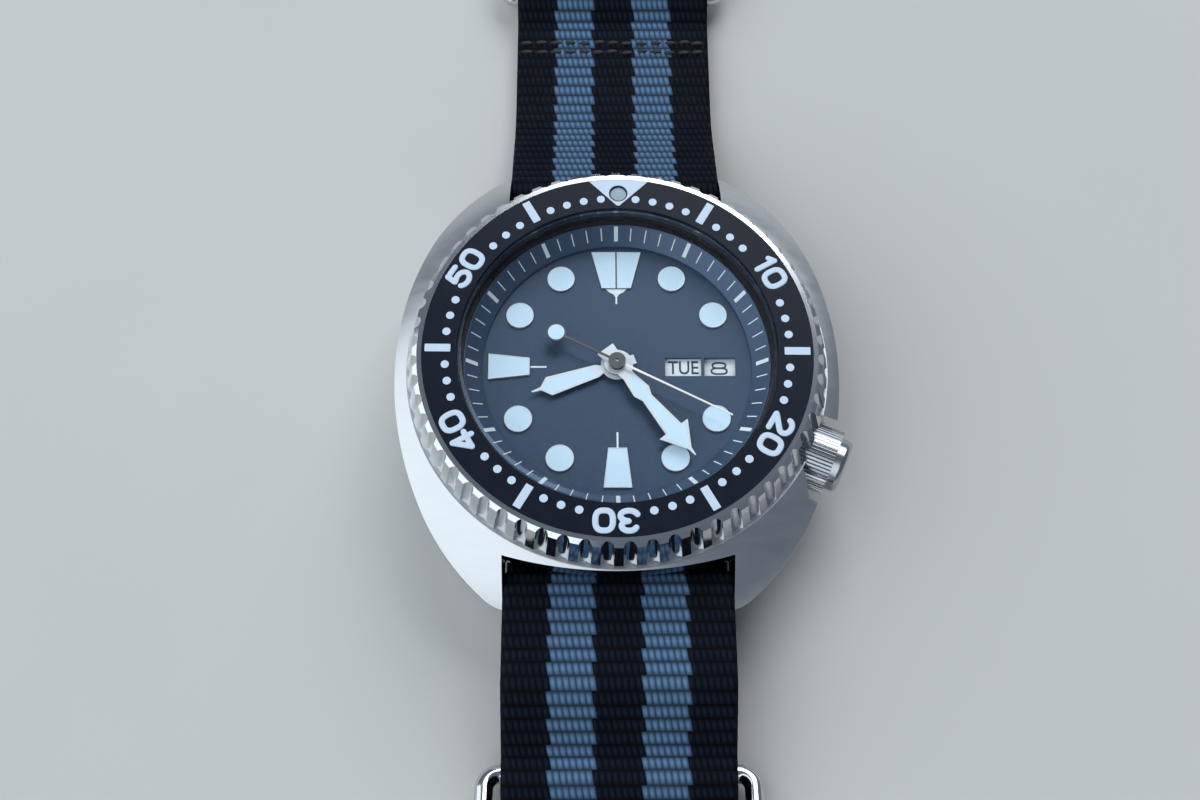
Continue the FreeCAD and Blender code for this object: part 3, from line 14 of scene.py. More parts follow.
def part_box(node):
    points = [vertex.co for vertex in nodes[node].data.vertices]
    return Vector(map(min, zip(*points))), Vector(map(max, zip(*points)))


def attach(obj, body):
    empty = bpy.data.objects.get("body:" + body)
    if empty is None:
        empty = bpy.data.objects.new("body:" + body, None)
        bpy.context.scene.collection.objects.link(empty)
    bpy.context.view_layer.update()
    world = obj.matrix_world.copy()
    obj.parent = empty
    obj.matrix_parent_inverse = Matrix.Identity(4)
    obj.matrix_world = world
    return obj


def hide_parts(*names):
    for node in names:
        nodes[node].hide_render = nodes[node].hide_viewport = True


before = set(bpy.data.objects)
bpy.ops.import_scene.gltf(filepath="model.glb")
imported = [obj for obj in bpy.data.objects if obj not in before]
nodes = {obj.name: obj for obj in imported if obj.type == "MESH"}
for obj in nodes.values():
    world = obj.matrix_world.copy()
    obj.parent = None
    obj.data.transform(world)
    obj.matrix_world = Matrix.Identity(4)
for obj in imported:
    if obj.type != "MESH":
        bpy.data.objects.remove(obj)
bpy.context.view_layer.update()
MM = 0.001

# %% [markdown]
# ## A few helpers
# Every printed or woven piece is a mesh made from points. One helper turns points and faces into an object,
# puts a material on it and lets it ride on a body of the frame. Printed marks are thin plates, so a second
# helper gathers many plates into one mesh.

# %% Mesh helpers
def add_object(name, data):
    """Links a new object for a mesh, lamp, camera or text into the scene."""
    thing = bpy.data.objects.new(name, data)
    bpy.context.collection.objects.link(thing)
    return thing


def make_mesh(name, points, faces, material, body, smooth=False):
    """A mesh object from points in millimetres."""
    mesh = bpy.data.meshes.new(name)
    mesh.from_pydata([tuple(c * MM for c in p) for p in points], [], faces)
    mesh.validate()
    mesh.update()
    for polygon in mesh.polygons:
        polygon.use_smooth = smooth
    piece = add_object(name, mesh)
    mesh.materials.append(material)
    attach(piece, body)


def circle(cx, cy, radius, count):
    turns = [math.tau * k / count for k in range(count)]
    return [(cx + radius * math.cos(t), cy + radius * math.sin(t)) for t in turns]


def clock_point(radius, minute, z, across=0.0):
    """A point at a radius in the direction of a minute, and moved across that direction."""
    a = math.radians(90 - 6 * minute)
    return (radius * math.cos(a) + across * math.sin(a), radius * math.sin(a) - across * math.cos(a), z)


class Prints:
    """Collects closed plates into one mesh. Counter-clockwise rings give plates that face out."""
    def __init__(self):
        self.points, self.faces = [], []

    def plate(self, low, high):
        """A plate between two rings of (x, y, z) points."""
        start, n = len(self.points), len(low)
        self.points += list(low) + list(high)
        self.faces.append(tuple(start + n + k for k in range(n)))
        self.faces.append(tuple(start + k for k in reversed(range(n))))
        for k in range(n):
            m = (k + 1) % n
            self.faces.append((start + k, start + m, start + n + m, start + n + k))

    def flat_plate(self, outline, low, high):
        """A plate with an outline of (x, y) points."""
        self.plate(*[[(x, y, z) for x, y in outline] for z in (low, high)])

    def mark(self, corners, minute, low, high):
        """A plate whose corners are (radius, across) in the direction of a minute."""
        self.plate(*[[clock_point(r, minute, z, w) for r, w in corners] for z in (low, high)])

    def open_plate(self, outer, inner, low, high):
        """A plate with a hole: outer and inner are rings of (x, y) points, as many in each."""
        start, n = len(self.points), len(outer)
        for z in (low, high):
            self.points += [(x, y, z) for x, y in (*outer, *inner)]
        for k in range(n):
            m = (k + 1) % n
            top, bottom = (2 * n + k, 2 * n + m, 3 * n + m, 3 * n + k), (k, n + k, n + m, m)
            outside, inside = (k, m, 2 * n + m, 2 * n + k), (n + m, n + k, 3 * n + k, 3 * n + m)
            self.faces += [tuple(start + i for i in face) for face in (top, bottom, outside, inside)]


def box_mm(node):
    low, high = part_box(node)
    return [v / MM for v in low], [v / MM for v in high]


print("helpers ready")

# %% [markdown]
# ## Finishes
# Steel on a watch is one of two things: satin brushed or mirror polished. Both are the same metal with
# another roughness, and a fine scratch pattern in the bump. Each finish gets some unevenness, because a
# perfectly even surface looks like plastic.

# %% Material helpers
GRAIN_DEEP = 0.00002  # m, the full height of a grain in the bump


def new_material(name):
    material = bpy.data.materials.new(name)
    material.use_nodes = True
    tree = material.node_tree
    return material, tree, tree.nodes["Principled BSDF"]


def add(tree, kind, **values):
    """A new node; values go to its properties or, by name, to its sockets."""
    node = tree.nodes.new(kind)
    for key, value in values.items():
        if hasattr(node, key):
            setattr(node, key, value)
        else:
            node.inputs[key.replace("_", " ")].default_value = value
    return node


def feed(tree, socket, value):
    """Sets a socket: by a link from another socket, or directly from a number or a colour."""
    if isinstance(value, bpy.types.NodeSocket):
        tree.links.new(value, socket)
    elif socket.type == "RGBA":
        socket.default_value = (*value, 1.0)
    elif value is not None:
        socket.default_value = value


def compute(tree, operation, first, second=None, kind="ShaderNodeMath", result="Value"):
    """A maths node on sockets or numbers."""
    node = add(tree, kind, operation=operation)
    feed(tree, node.inputs[0], first)
    feed(tree, node.inputs[1], second)
    return node.outputs[result]


def noise(tree, scale, stretch=(1, 1, 1), detail=4.0):
    """Object-space noise, which can be stretched into streaks."""
    where = add(tree, "ShaderNodeTexCoord")
    mapping = add(tree, "ShaderNodeMapping")
    mapping.inputs["Scale"].default_value = stretch
    tree.links.new(where.outputs["Object"], mapping.inputs["Vector"])
    texture = add(tree, "ShaderNodeTexNoise")
    texture.inputs["Scale"].default_value = scale
    texture.inputs["Detail"].default_value = detail
    tree.links.new(mapping.outputs["Vector"], texture.inputs["Vector"])
    return texture.outputs["Fac"]


def spread(tree, value, low, high, start=0.0, end=1.0, shape="LINEAR"):
    """Maps the stretch from start to end onto low to high."""
    ramp = add(tree, "ShaderNodeMapRange", interpolation_type=shape)
    for socket, number in (("From Min", start), ("From Max", end), ("To Min", low), ("To Max", high)):
        ramp.inputs[socket].default_value = number
    tree.links.new(value, ramp.inputs["Value"])
    return ramp.outputs["Result"]


def blend(tree, factor, first, second, data="RGBA", how="MIX"):
    mix = add(tree, "ShaderNodeMix", data_type=data, blend_type=how)
    for socket, value in (("Factor", factor), ("A", first), ("B", second)):
        feed(tree, mix.inputs[socket], value)
    return mix.outputs["Result"]


def bump(tree, shader, height, strength, distance):
    node = add(tree, "ShaderNodeBump", Strength=strength, Distance=distance)
    tree.links.new(height, node.inputs["Height"])
    tree.links.new(node.outputs["Normal"], shader.inputs["Normal"])


def finish(name, colour, metallic, roughness, grain=400.0, stretch=(1, 1, 1), depth=0.15, tint=0.08):
    """A plain finish: colour and roughness vary a little, and a fine grain shows in the bump."""
    material, tree, shader = new_material(name)
    shader.inputs["Metallic"].default_value = metallic
    texture = noise(tree, grain, stretch)
    darker = tuple(c * (1 - tint) for c in colour)
    tree.links.new(blend(tree, texture, darker, colour), shader.inputs["Base Color"])
    tree.links.new(spread(tree, texture, roughness * 0.8, roughness * 1.25), shader.inputs["Roughness"])
    bump(tree, shader, texture, depth, GRAIN_DEEP)
    return material


print("material helpers ready")

# %% [markdown]
# ## The case: brushed above, polished round the flanks
# One solid carries two finishes that meet along its widest line. The direction of the surface tells them
# apart: what looks up is brushed with fine strokes, what looks sideways is polished.

# %% Case steel
def case_steel():
    material, tree, shader = new_material("case_steel")
    shader.inputs["Metallic"].default_value = 1.0
    geometry = add(tree, "ShaderNodeNewGeometry")
    split = add(tree, "ShaderNodeSeparateXYZ")
    tree.links.new(geometry.outputs["Normal"], split.inputs["Vector"])
    facing_up = spread(tree, split.outputs["Z"], 0.0, 1.0, 0.28, 0.36, "SMOOTHSTEP")
    strokes = noise(tree, 900.0, (0.06, 1.0, 1.0), 6.0)
    wear = noise(tree, 160.0, (1, 1, 1), 3.0)
    brushed, polished = spread(tree, strokes, 0.27, 0.42), spread(tree, wear, 0.06, 0.15)
    rough = blend(tree, facing_up, polished, brushed, "FLOAT")
    tree.links.new(rough, shader.inputs["Roughness"])
    steel = blend(tree, strokes, (0.56, 0.57, 0.585), (0.66, 0.67, 0.68))
    tree.links.new(steel, shader.inputs["Base Color"])
    bump(tree, shader, compute(tree, "MULTIPLY", strokes, facing_up), 0.25, GRAIN_DEEP)
    return material


steel_case = case_steel()
steel_polished = finish("polished_steel", (0.68, 0.69, 0.70), 1.0, 0.11, 300.0, depth=0.03)
# the crown's steel is a darker copy of the polished steel: painted shade
crown_steel_painted_shade = finish("crown_steel_painted_shade", (0.46, 0.47, 0.49), 1.0, 0.22, 300.0, depth=0.03)
steel_brushed = finish("brushed_steel", (0.62, 0.63, 0.64), 1.0, 0.3, 1200.0, (1, 0.05, 1), 0.25)
print("case steel ready")

# %% [markdown]
# ## Everything the frame already has
# The rigid nodes keep their meshes and get a finish by what they are made of. The inside of the watch is
# finished too: someone may take the case back off.

# %% Finishes of the other nodes
insert_black = finish("insert_black", (0.005, 0.010, 0.020), 0.0, 0.3, 700.0, depth=0.05, tint=0.25)
insert_black.node_tree.nodes["Principled BSDF"].inputs["Specular IOR Level"].default_value = 0.16
# dark dial paint; its blue-grey tint is painted reflection of the sky on a black dial
dial_paint_sky_reflection = finish("dial_paint_sky_reflection", (0.046, 0.080, 0.141), 0.35, 0.42, 2600.0, depth=0.12, tint=0.3)
# dark chapter ring paint; its lighter blue tint is painted reflection of the sky on the sloped ring
chapter_paint_sky_reflection = finish("chapter_paint_sky_reflection", (0.076, 0.122, 0.205), 0.35, 0.38, 2600.0, depth=0.1, tint=0.25)
hand_steel = finish("hand_steel", (0.76, 0.80, 0.84), 0.4, 0.36, 1500.0, (1, 0.1, 1), 0.15)
rubber = finish("seal_rubber", (0.012, 0.012, 0.014), 0.0, 0.6, 900.0, depth=0.08)
brass = finish("brass", (0.72, 0.54, 0.26), 1.0, 0.26, 1600.0, (1, 0.08, 1), 0.2)
nickel = finish("nickel_plate", (0.62, 0.60, 0.56), 1.0, 0.3, 500.0, (0.12, 1, 1), 0.3)
spring_steel = finish("spring_steel", (0.22, 0.26, 0.38), 1.0, 0.25, 700.0)
ruby = finish("ruby", (0.5, 0.01, 0.08), 0.0, 0.08, 300.0, depth=0.02)
white_paint = finish("white_disc", (0.88, 0.93, 0.98), 0.0, 0.45, 900.0, depth=0.06)
holder_plastic = finish("holder_plastic", (0.70, 0.70, 0.68), 0.0, 0.5, 600.0)
tungsten = finish("tungsten", (0.42, 0.41, 0.39), 1.0, 0.34, 700.0, (1, 0.1, 1), 0.25)
white_print = finish("white_print", (0.62, 0.74, 0.88), 0.0, 0.45, 1200.0, depth=0.08)
dial_print = finish("dial_print", (0.86, 0.95, 1.0), 0.0, 0.45, 1200.0, depth=0.08)
dark_print = finish("dark_print", (0.030, 0.050, 0.085), 0.0, 0.5, 1200.0, depth=0.08)
pip_lume = finish("pip_lume", (0.34, 0.46, 0.52), 0.0, 0.25, 2500.0, depth=0.1, tint=0.3)


def luminous_paint():
    """Granular paint, nearly white with a touch of blue, with a faint blue emission: a painted glow."""
    material, tree, shader = new_material("luminous_paint")
    grains = noise(tree, 5000.0, detail=3.0)
    cloudy = noise(tree, 700.0)
    paint = blend(tree, cloudy, (0.62, 0.82, 0.97), (0.70, 0.89, 1.0))
    tree.links.new(paint, shader.inputs["Base Color"])
    tree.links.new(spread(tree, grains, 0.5, 0.7), shader.inputs["Roughness"])
    # faint blue emission: painted glow
    shader.inputs["Emission Color"].default_value = (0.30, 0.62, 1.0, 1.0)
    shader.inputs["Emission Strength"].default_value = 0.05
    bump(tree, shader, grains, 0.5, 0.00003)
    return material


def second_hand_finish():
    """Bright needle; the hub and the tail behind it are painted near black: painted shade."""
    material, tree, shader = new_material("second_hand_with_painted_shade")
    low, high = box_mm("second_hand_lume")
    dot = Vector(((low[0] + high[0]) / 2, (low[1] + high[1]) / 2, 0)).normalized()
    where = add(tree, "ShaderNodeTexCoord")
    behind = compute(tree, "DOT_PRODUCT", where.outputs["Object"], dot, "ShaderNodeVectorMath")
    dark = spread(tree, behind, 0.0, 1.0, -1.0 * MM, -0.8 * MM)
    grain = noise(tree, 1500.0)
    steel = blend(tree, grain, (0.90, 0.89, 0.86), (0.96, 0.95, 0.92))
    # near-black colour of the hub and the tail: painted shade
    tail_painted_shade = blend(tree, grain, (0.09, 0.09, 0.10), (0.12, 0.12, 0.13))
    tree.links.new(blend(tree, dark, steel, tail_painted_shade), shader.inputs["Base Color"])
    shader.inputs["Metallic"].default_value = 0.45
    tree.links.new(spread(tree, grain, 0.28, 0.4), shader.inputs["Roughness"])
    return material


def wheel_finish(node, arbor):
    """A brass wheel riveted to a steel arbor: the metal changes at the arbor's radius, in mm."""
    material, tree, shader = new_material(node + "_metals")
    low, high = box_mm(node)
    axis = ((low[0] + high[0]) / 2 * MM, (low[1] + high[1]) / 2 * MM, 0)
    where = add(tree, "ShaderNodeTexCoord")
    offset = compute(tree, "SUBTRACT", where.outputs["Object"], axis, "ShaderNodeVectorMath", "Vector")
    flat = compute(tree, "MULTIPLY", offset, (1, 1, 0), "ShaderNodeVectorMath", "Vector")
    radius = compute(tree, "LENGTH", flat, kind="ShaderNodeVectorMath")
    plate = spread(tree, radius, 0.0, 1.0, arbor * MM, (arbor + 0.04) * MM)
    grain = noise(tree, 1600.0, (1, 0.08, 1))
    steel = blend(tree, grain, (0.30, 0.30, 0.31), (0.38, 0.38, 0.39))
    yellow = blend(tree, grain, (0.66, 0.49, 0.23), (0.76, 0.58, 0.29))
    tree.links.new(blend(tree, plate, steel, yellow), shader.inputs["Base Color"])
    shader.inputs["Metallic"].default_value = 1.0
    tree.links.new(spread(tree, grain, 0.2, 0.34), shader.inputs["Roughness"])
    bump(tree, shader, grain, 0.2, GRAIN_DEEP / 2)
    return material


ARBOR = 0.55  # mm, radius within which a wheel is steel
lume = luminous_paint()
by_material = {
    steel_case: ["case_body"],
    crown_steel_painted_shade: ["crown"],
    steel_polished: ["bezel", "spring_bars", "keeper_ring_buckle", "keeper_ring_middle", "keeper_ring_end",
                     "buckle_frame", "buckle_tongue", "winding_stem", "bridge_screws", "rotor_axle",
                     "pallet_fork", "setting_lever", "barrel_arbor"],
    steel_brushed: ["case_back", "crown_tube", "sliding_clutch", "winding_pinion"],
    insert_black: ["bezel_insert"],
    dial_paint_sky_reflection: ["dial"],
    chapter_paint_sky_reflection: ["chapter_ring"],
    hand_steel: ["hour_hand", "minute_hand"],
    second_hand_finish(): ["second_hand"],
    lume: ["hour_markers", "hour_hand_lume", "minute_hand_lume", "second_hand_lume"],
    pip_lume: ["bezel_pip"],
    rubber: ["case_back_gasket", "bezel_gasket", "crystal_gasket", "crown_gasket"],
    brass: ["mainspring_barrel", "balance_wheel", "minute_wheel", "hour_wheel", "cannon_pinion"],
    nickel: ["main_plate", "train_bridge", "balance_bridge", "pallet_bridge"],
    spring_steel: ["mainspring", "hairspring", "bezel_click_spring"],
    ruby: ["jewels"],
    white_paint: ["date_disc", "day_disc"],
    holder_plastic: ["movement_holder"],
    tungsten: ["rotor"],
}
for wheel in ("center_wheel", "third_wheel", "fourth_wheel", "escape_wheel"):
    by_material[wheel_finish(wheel, ARBOR)] = [wheel]


def dress(node, material):
    slots = nodes[node].data.materials
    if slots:
        for k in range(len(slots)):
            nodes[node].material_slots[k].link = "OBJECT"
            nodes[node].material_slots[k].material = material
    else:
        slots.append(material)


for material, names in by_material.items():
    for node in names:
        dress(node, material)
undressed = set(nodes) - {n for names in by_material.values() for n in names}
print("nodes still to do:", sorted(undressed))

# %% [markdown]
# ## The crystal
# The crystal is a flat disc of glass with a finely ground bevel round its edge. Seen from above the flat
# hardly shows, but the bevel catches some light as a thin ring. The flat is a clear shader with a faint
# reflection; the bevel and the side wall scatter more. Light goes straight through here, without bending,
# so only the side where it enters may mirror it: on the way out the Fresnel value would wrongly shut the
# glass at low angles.

# %% Crystal
def mix_shaders(tree, factor, first, second):
    mix = add(tree, "ShaderNodeMixShader")
    for socket, value in zip(mix.inputs, (factor, first, second)):
        feed(tree, socket, value)
    return mix.outputs["Shader"]


def crystal_glass():
    material = bpy.data.materials.new("crystal_glass")
    material.use_nodes = True
    tree = material.node_tree
    tree.nodes.clear()
    out = add(tree, "ShaderNodeOutputMaterial")
    clear = add(tree, "ShaderNodeBsdfTransparent").outputs["BSDF"]
    gloss = add(tree, "ShaderNodeBsdfGlossy")
    smears = noise(tree, 90.0)
    tree.links.new(spread(tree, smears, 0.02, 0.06), gloss.inputs["Roughness"])
    fresnel = add(tree, "ShaderNodeFresnel", IOR=1.33)
    geometry = add(tree, "ShaderNodeNewGeometry")
    entering = compute(tree, "SUBTRACT", 1.0, geometry.outputs["Backfacing"])
    mirrored = compute(tree, "MULTIPLY", fresnel.outputs["Fac"], entering)
    flat = mix_shaders(tree, mirrored, clear, gloss.outputs["BSDF"])
    ground = add(tree, "ShaderNodeBsdfGlossy", Color=(0.45, 0.60, 0.75, 1.0), Roughness=0.3)
    edge = mix_shaders(tree, 0.16, clear, ground.outputs["BSDF"])
    split = add(tree, "ShaderNodeSeparateXYZ")
    tree.links.new(geometry.outputs["Normal"], split.inputs["Vector"])
    upright = compute(tree, "ABSOLUTE", split.outputs["Z"])
    slanted = spread(tree, upright, 0.0, 1.0, 0.98, 0.8)
    tree.links.new(mix_shaders(tree, slanted, flat, edge), out.inputs["Surface"])
    return material


dress("crystal", crystal_glass())
print("crystal:", box_mm("crystal"))

# %% [markdown]
# ## The woven strap
# The strap is nylon webbing: hidden cross yarns raise a row of ribs, and in each row the warp yarns show as
# short bumps, half a step aside from the row before. A flat band with a bump map would look printed, so the
# ribs are in the mesh: a grid laid along the strap's middle line, with a column for the middle and the edge
# of every yarn. All sizes of the strap are in millimetres.

# %% The strap's middle line
THICK, LAYER_GAP, WIDTH = 1.2, 0.05, 22.14  # of the cloth
BAR_Y, BAR_Z = 21.9, 6.6  # the spring bars
WRAP, BEND, FOLD = 1.55, 1.2, 1.5  # radii of the middle line: round a bar, at a ring, on leaving the table
LOW, HIGH = THICK / 2, 1.5 * THICK + LAYER_GAP  # middle of the lower and the upper layer
HELD = LOW + WRAP + WRAP  # middle of a layer that passes over a ring's bar
OVER = HELD + THICK + LAYER_GAP
POCKET, RUN = 1.2, 2.6  # half the flat top over a ring, and the slope beside it
TAIL_TIP, TIP_RADIUS, TAIL_FOOT_Y = -180.0, 14.0, -47.5
SAG_Y, SAG_Z = -31.5, 8.6  # where the long layer turns down between its bar and the end ring
FOOT_Y, FOOT_BEND = 34.0, 12.0  # where it comes down behind the other bar
END_RING_Y, RING_YS, BUCKLE_Y = -38.4, (51.6, 67.0), 79.0
JOIN_Y, JOIN_GAP, SEAM_Y = 45.4, 0.2, 43.8
UNDER_END = 5.0  # the short layer reaches this far past the slope behind its ring


def over_bar(side, foot_y, foot_z):
    dy, dz = foot_y - BAR_Y, BAR_Z - foot_z
    slope = math.atan2(dz, dy) + math.asin(WRAP / math.hypot(dy, dz))
    corners = [(BAR_Y - WRAP, HIGH, FOLD), (BAR_Y - WRAP, BAR_Z + WRAP, WRAP),
               (BAR_Y + WRAP * math.tan(slope / 2), BAR_Z + WRAP, WRAP)]
    return [(side * y, z, r) for y, z, r in corners]


def over_ring(y):
    return [(y - POCKET - RUN, HIGH, BEND), (y - POCKET, HELD, BEND),
            (y + POCKET, HELD, BEND), (y + POCKET + RUN, HIGH, BEND)]


upper_corners = [(TAIL_TIP, LOW, 0), (TAIL_FOOT_Y, LOW, 4.0), (END_RING_Y - POCKET, OVER, 2.0),
                 (END_RING_Y + POCKET, OVER, 2.0), (SAG_Y, SAG_Z, 3.0)]
upper_corners += over_bar(-1, -SAG_Y, SAG_Z)[::-1] + over_bar(1, FOOT_Y, HIGH) + [(FOOT_Y, HIGH, FOOT_BEND)]
for ring_y in RING_YS:
    upper_corners += over_ring(ring_y)
upper_corners += over_ring(BUCKLE_Y)[:2] + [(BUCKLE_Y + WRAP, HELD, WRAP), (BUCKLE_Y + WRAP, LOW, WRAP),
                                            (JOIN_Y + JOIN_GAP, LOW, 0)]
lower_corners = [(JOIN_Y, LOW, 0), (END_RING_Y - WRAP, LOW, WRAP), (END_RING_Y - WRAP, HELD, WRAP)]
lower_corners += over_ring(END_RING_Y)[2:] + [(END_RING_Y + POCKET + RUN + UNDER_END, HIGH, 0)]
ARC_PARTS = 12


def middle_line(corners, step):
    """Evenly spaced points along straight runs joined by round corners, and the normal at each."""
    spots = [np.array(corners[0][:2])]
    for before, here, after in zip(corners, corners[1:], corners[2:]):
        a, p, b = (np.array(c[:2], float) for c in (before, here, after))
        into, out = (p - a) / np.linalg.norm(p - a), (b - p) / np.linalg.norm(b - p)
        turn = math.atan2(into[0] * out[1] - into[1] * out[0], float(into @ out))
        trim = here[2] * math.tan(abs(turn) / 2)
        centre = p - into * trim + np.array((-into[1], into[0])) * math.copysign(here[2], turn)
        start = p - into * trim - centre
        for k in range(ARC_PARTS + 1):
            c, s = math.cos(turn * k / ARC_PARTS), math.sin(turn * k / ARC_PARTS)
            spots.append(centre + (start[0] * c - start[1] * s, start[0] * s + start[1] * c))
    spots.append(np.array(corners[-1][:2], float))
    spots = np.array(spots)
    gone = np.concatenate(([0], np.cumsum(np.linalg.norm(np.diff(spots, axis=0), axis=1))))
    count = int(round(gone[-1] / step))
    at = np.linspace(0, gone[-1], count + 1)
    line = np.stack([np.interp(at, gone, spots[:, k]) for k in (0, 1)], axis=1)
    along = np.gradient(line, axis=0)
    along /= np.linalg.norm(along, axis=1)[:, None]
    return at, line, np.stack([-along[:, 1], along[:, 0]], axis=1)


RIB, YARNS = 1.29, 36  # mm from rib to rib, and yarns side by side
ROWS_PER_RIB = 4
print("upper layer, mm long:", round(middle_line(upper_corners, RIB / ROWS_PER_RIB)[0][-1], 1))

# %% [markdown]
# ### From a line to cloth
# A grid is laid along the middle line: s runs along the band and x across it. Cells are opened where a hole
# or slot lies, and the points on their rim move onto its true edge. Then the grid is lifted off the middle
# line to both sides, and walls close it wherever a cell has no neighbour.

# %% Grid helpers
RELIEF, SHARPNESS = 0.24, 0.7  # height of the ribs, and how narrow the grooves between them are
SELVEDGE, SELVEDGE_DROP = 0.5, 0.28  # the band thins out over this width at its edges
TIP_LONG = 10.0
# for each side of a cell: where its neighbour lies in the padded grid, and the two corners of that side
CELL_SIDES = (((0, 1), (0, 0), (0, 1)), ((2, 1), (1, 1), (1, 0)),
              ((1, 0), (1, 0), (0, 0)), ((1, 2), (0, 1), (1, 1)))


def rim_points(opened):
    """The grid points between opened and closed cells."""
    rows, columns = opened.shape
    around = np.zeros((rows + 1, columns + 1), int)
    for dr in (0, 1):
        for dc in (0, 1):
            around[dr:rows + dr, dc:columns + dc] += opened
    return (around > 0) & (around < 4)


def half_thickness(s, x):
    """Half of the cloth's thickness: ribs across the band, with every other yarn on top in each."""
    crest = (np.arange(s.shape[1])[None, :] + np.floor(s / RIB + 0.5)) % 2
    rib = (0.5 + 0.5 * np.cos(math.tau * s / RIB)) ** SHARPNESS
    height = rib * (0.5 + 0.5 * crest)
    edge = np.clip((WIDTH / 2 - np.abs(x)) / SELVEDGE, 0, 1)
    return THICK / 2 - RELIEF + RELIEF * height - SELVEDGE_DROP * (1 - edge) ** 2


def closed_faces(kept):
    """Faces of the kept cells on both sides of the band, and of the walls between the sides."""
    rows, columns = kept.shape
    index = np.arange((rows + 1) * (columns + 1)).reshape(rows + 1, columns + 1)
    shift = index.size
    a, b, c, d = index[:-1, :-1][kept], index[:-1, 1:][kept], index[1:, 1:][kept], index[1:, :-1][kept]
    faces = [np.stack([a, d, c, b], axis=1), np.stack([a, b, c, d], axis=1) + shift]
    padded = np.pad(kept, 1)
    for (r0, c0), *ends in CELL_SIDES:
        open_edge = kept & ~padded[r0:r0 + rows, c0:c0 + columns]
        p, q = (index[r:rows + r, c:columns + c][open_edge] for r, c in ends)
        faces.append(np.stack([p, q, q + shift, p + shift], axis=1))
    return np.concatenate(faces)


print("grid helpers ready")

# %% Weaving a band
def woven_band(name, corners, material, body, tip=False, openings=()):
    """A closed band of webbing. openings are (test, snap) pairs on (distance along, across, y)."""
    at, line, normal = middle_line(corners, RIB / ROWS_PER_RIB)
    across = np.linspace(-WIDTH / 2, WIDTH / 2, 2 * YARNS + 1)
    s = np.repeat(at[:, None], len(across), axis=1)
    x = np.repeat(across[None, :], len(at), axis=0)
    if tip:
        round_off = TIP_RADIUS - np.sqrt(TIP_RADIUS ** 2 - across ** 2)
        s = np.where(s < TIP_LONG, round_off + s * (1 - round_off / TIP_LONG), s)
    holes = np.zeros((len(at) - 1, len(across) - 1), bool)
    for test, snap in openings:
        y = np.interp(s, at, line[:, 0])
        middle = [(v[1:, 1:] + v[:-1, 1:] + v[1:, :-1] + v[:-1, :-1]) / 4 for v in (s, x, y)]
        opened = test(*middle)
        holes |= opened
        s, x = snap(s, x, y, rim_points(opened))
    y, z, ny, nz = (np.interp(s, at, v) for v in (*line.T, *normal.T))
    lift = half_thickness(s, x)
    sides = [np.stack([x, y + way * ny * lift, z + way * nz * lift], axis=2).reshape(-1, 3)
             for way in (1, -1)]
    points = np.concatenate(sides) * MM
    faces = closed_faces(~holes)
    used = np.unique(faces)
    renumber = np.full(len(points), -1)
    renumber[used] = np.arange(len(used))
    mesh = bpy.data.meshes.new(name)
    mesh.from_pydata(points[used].tolist(), [], renumber[faces].tolist())
    mesh.polygons.foreach_set("use_smooth", np.ones(len(mesh.polygons), bool))
    run = mesh.attributes.new("run", "FLOAT", "POINT")
    run.data.foreach_set("value", np.tile(s.reshape(-1), 2)[used].astype(np.float32))
    mesh.update()
    piece = add_object(name, mesh)
    mesh.materials.append(material)
    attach(piece, body)
    print(name, "faces:", len(mesh.polygons), "length mm:", round(float(at[-1]), 1))
    return piece, float(at[-1])


# %% The look of webbing
STRIPE_X, STRIPE_HALF = 4.4, 2.2  # the two grey stripes, mm from the middle
SLANT = 0.35  # yarns that a bump leans over from one groove to the next
KEEP_POSITIVE = 50.0  # added to the yarn count, which starts at the middle of the band


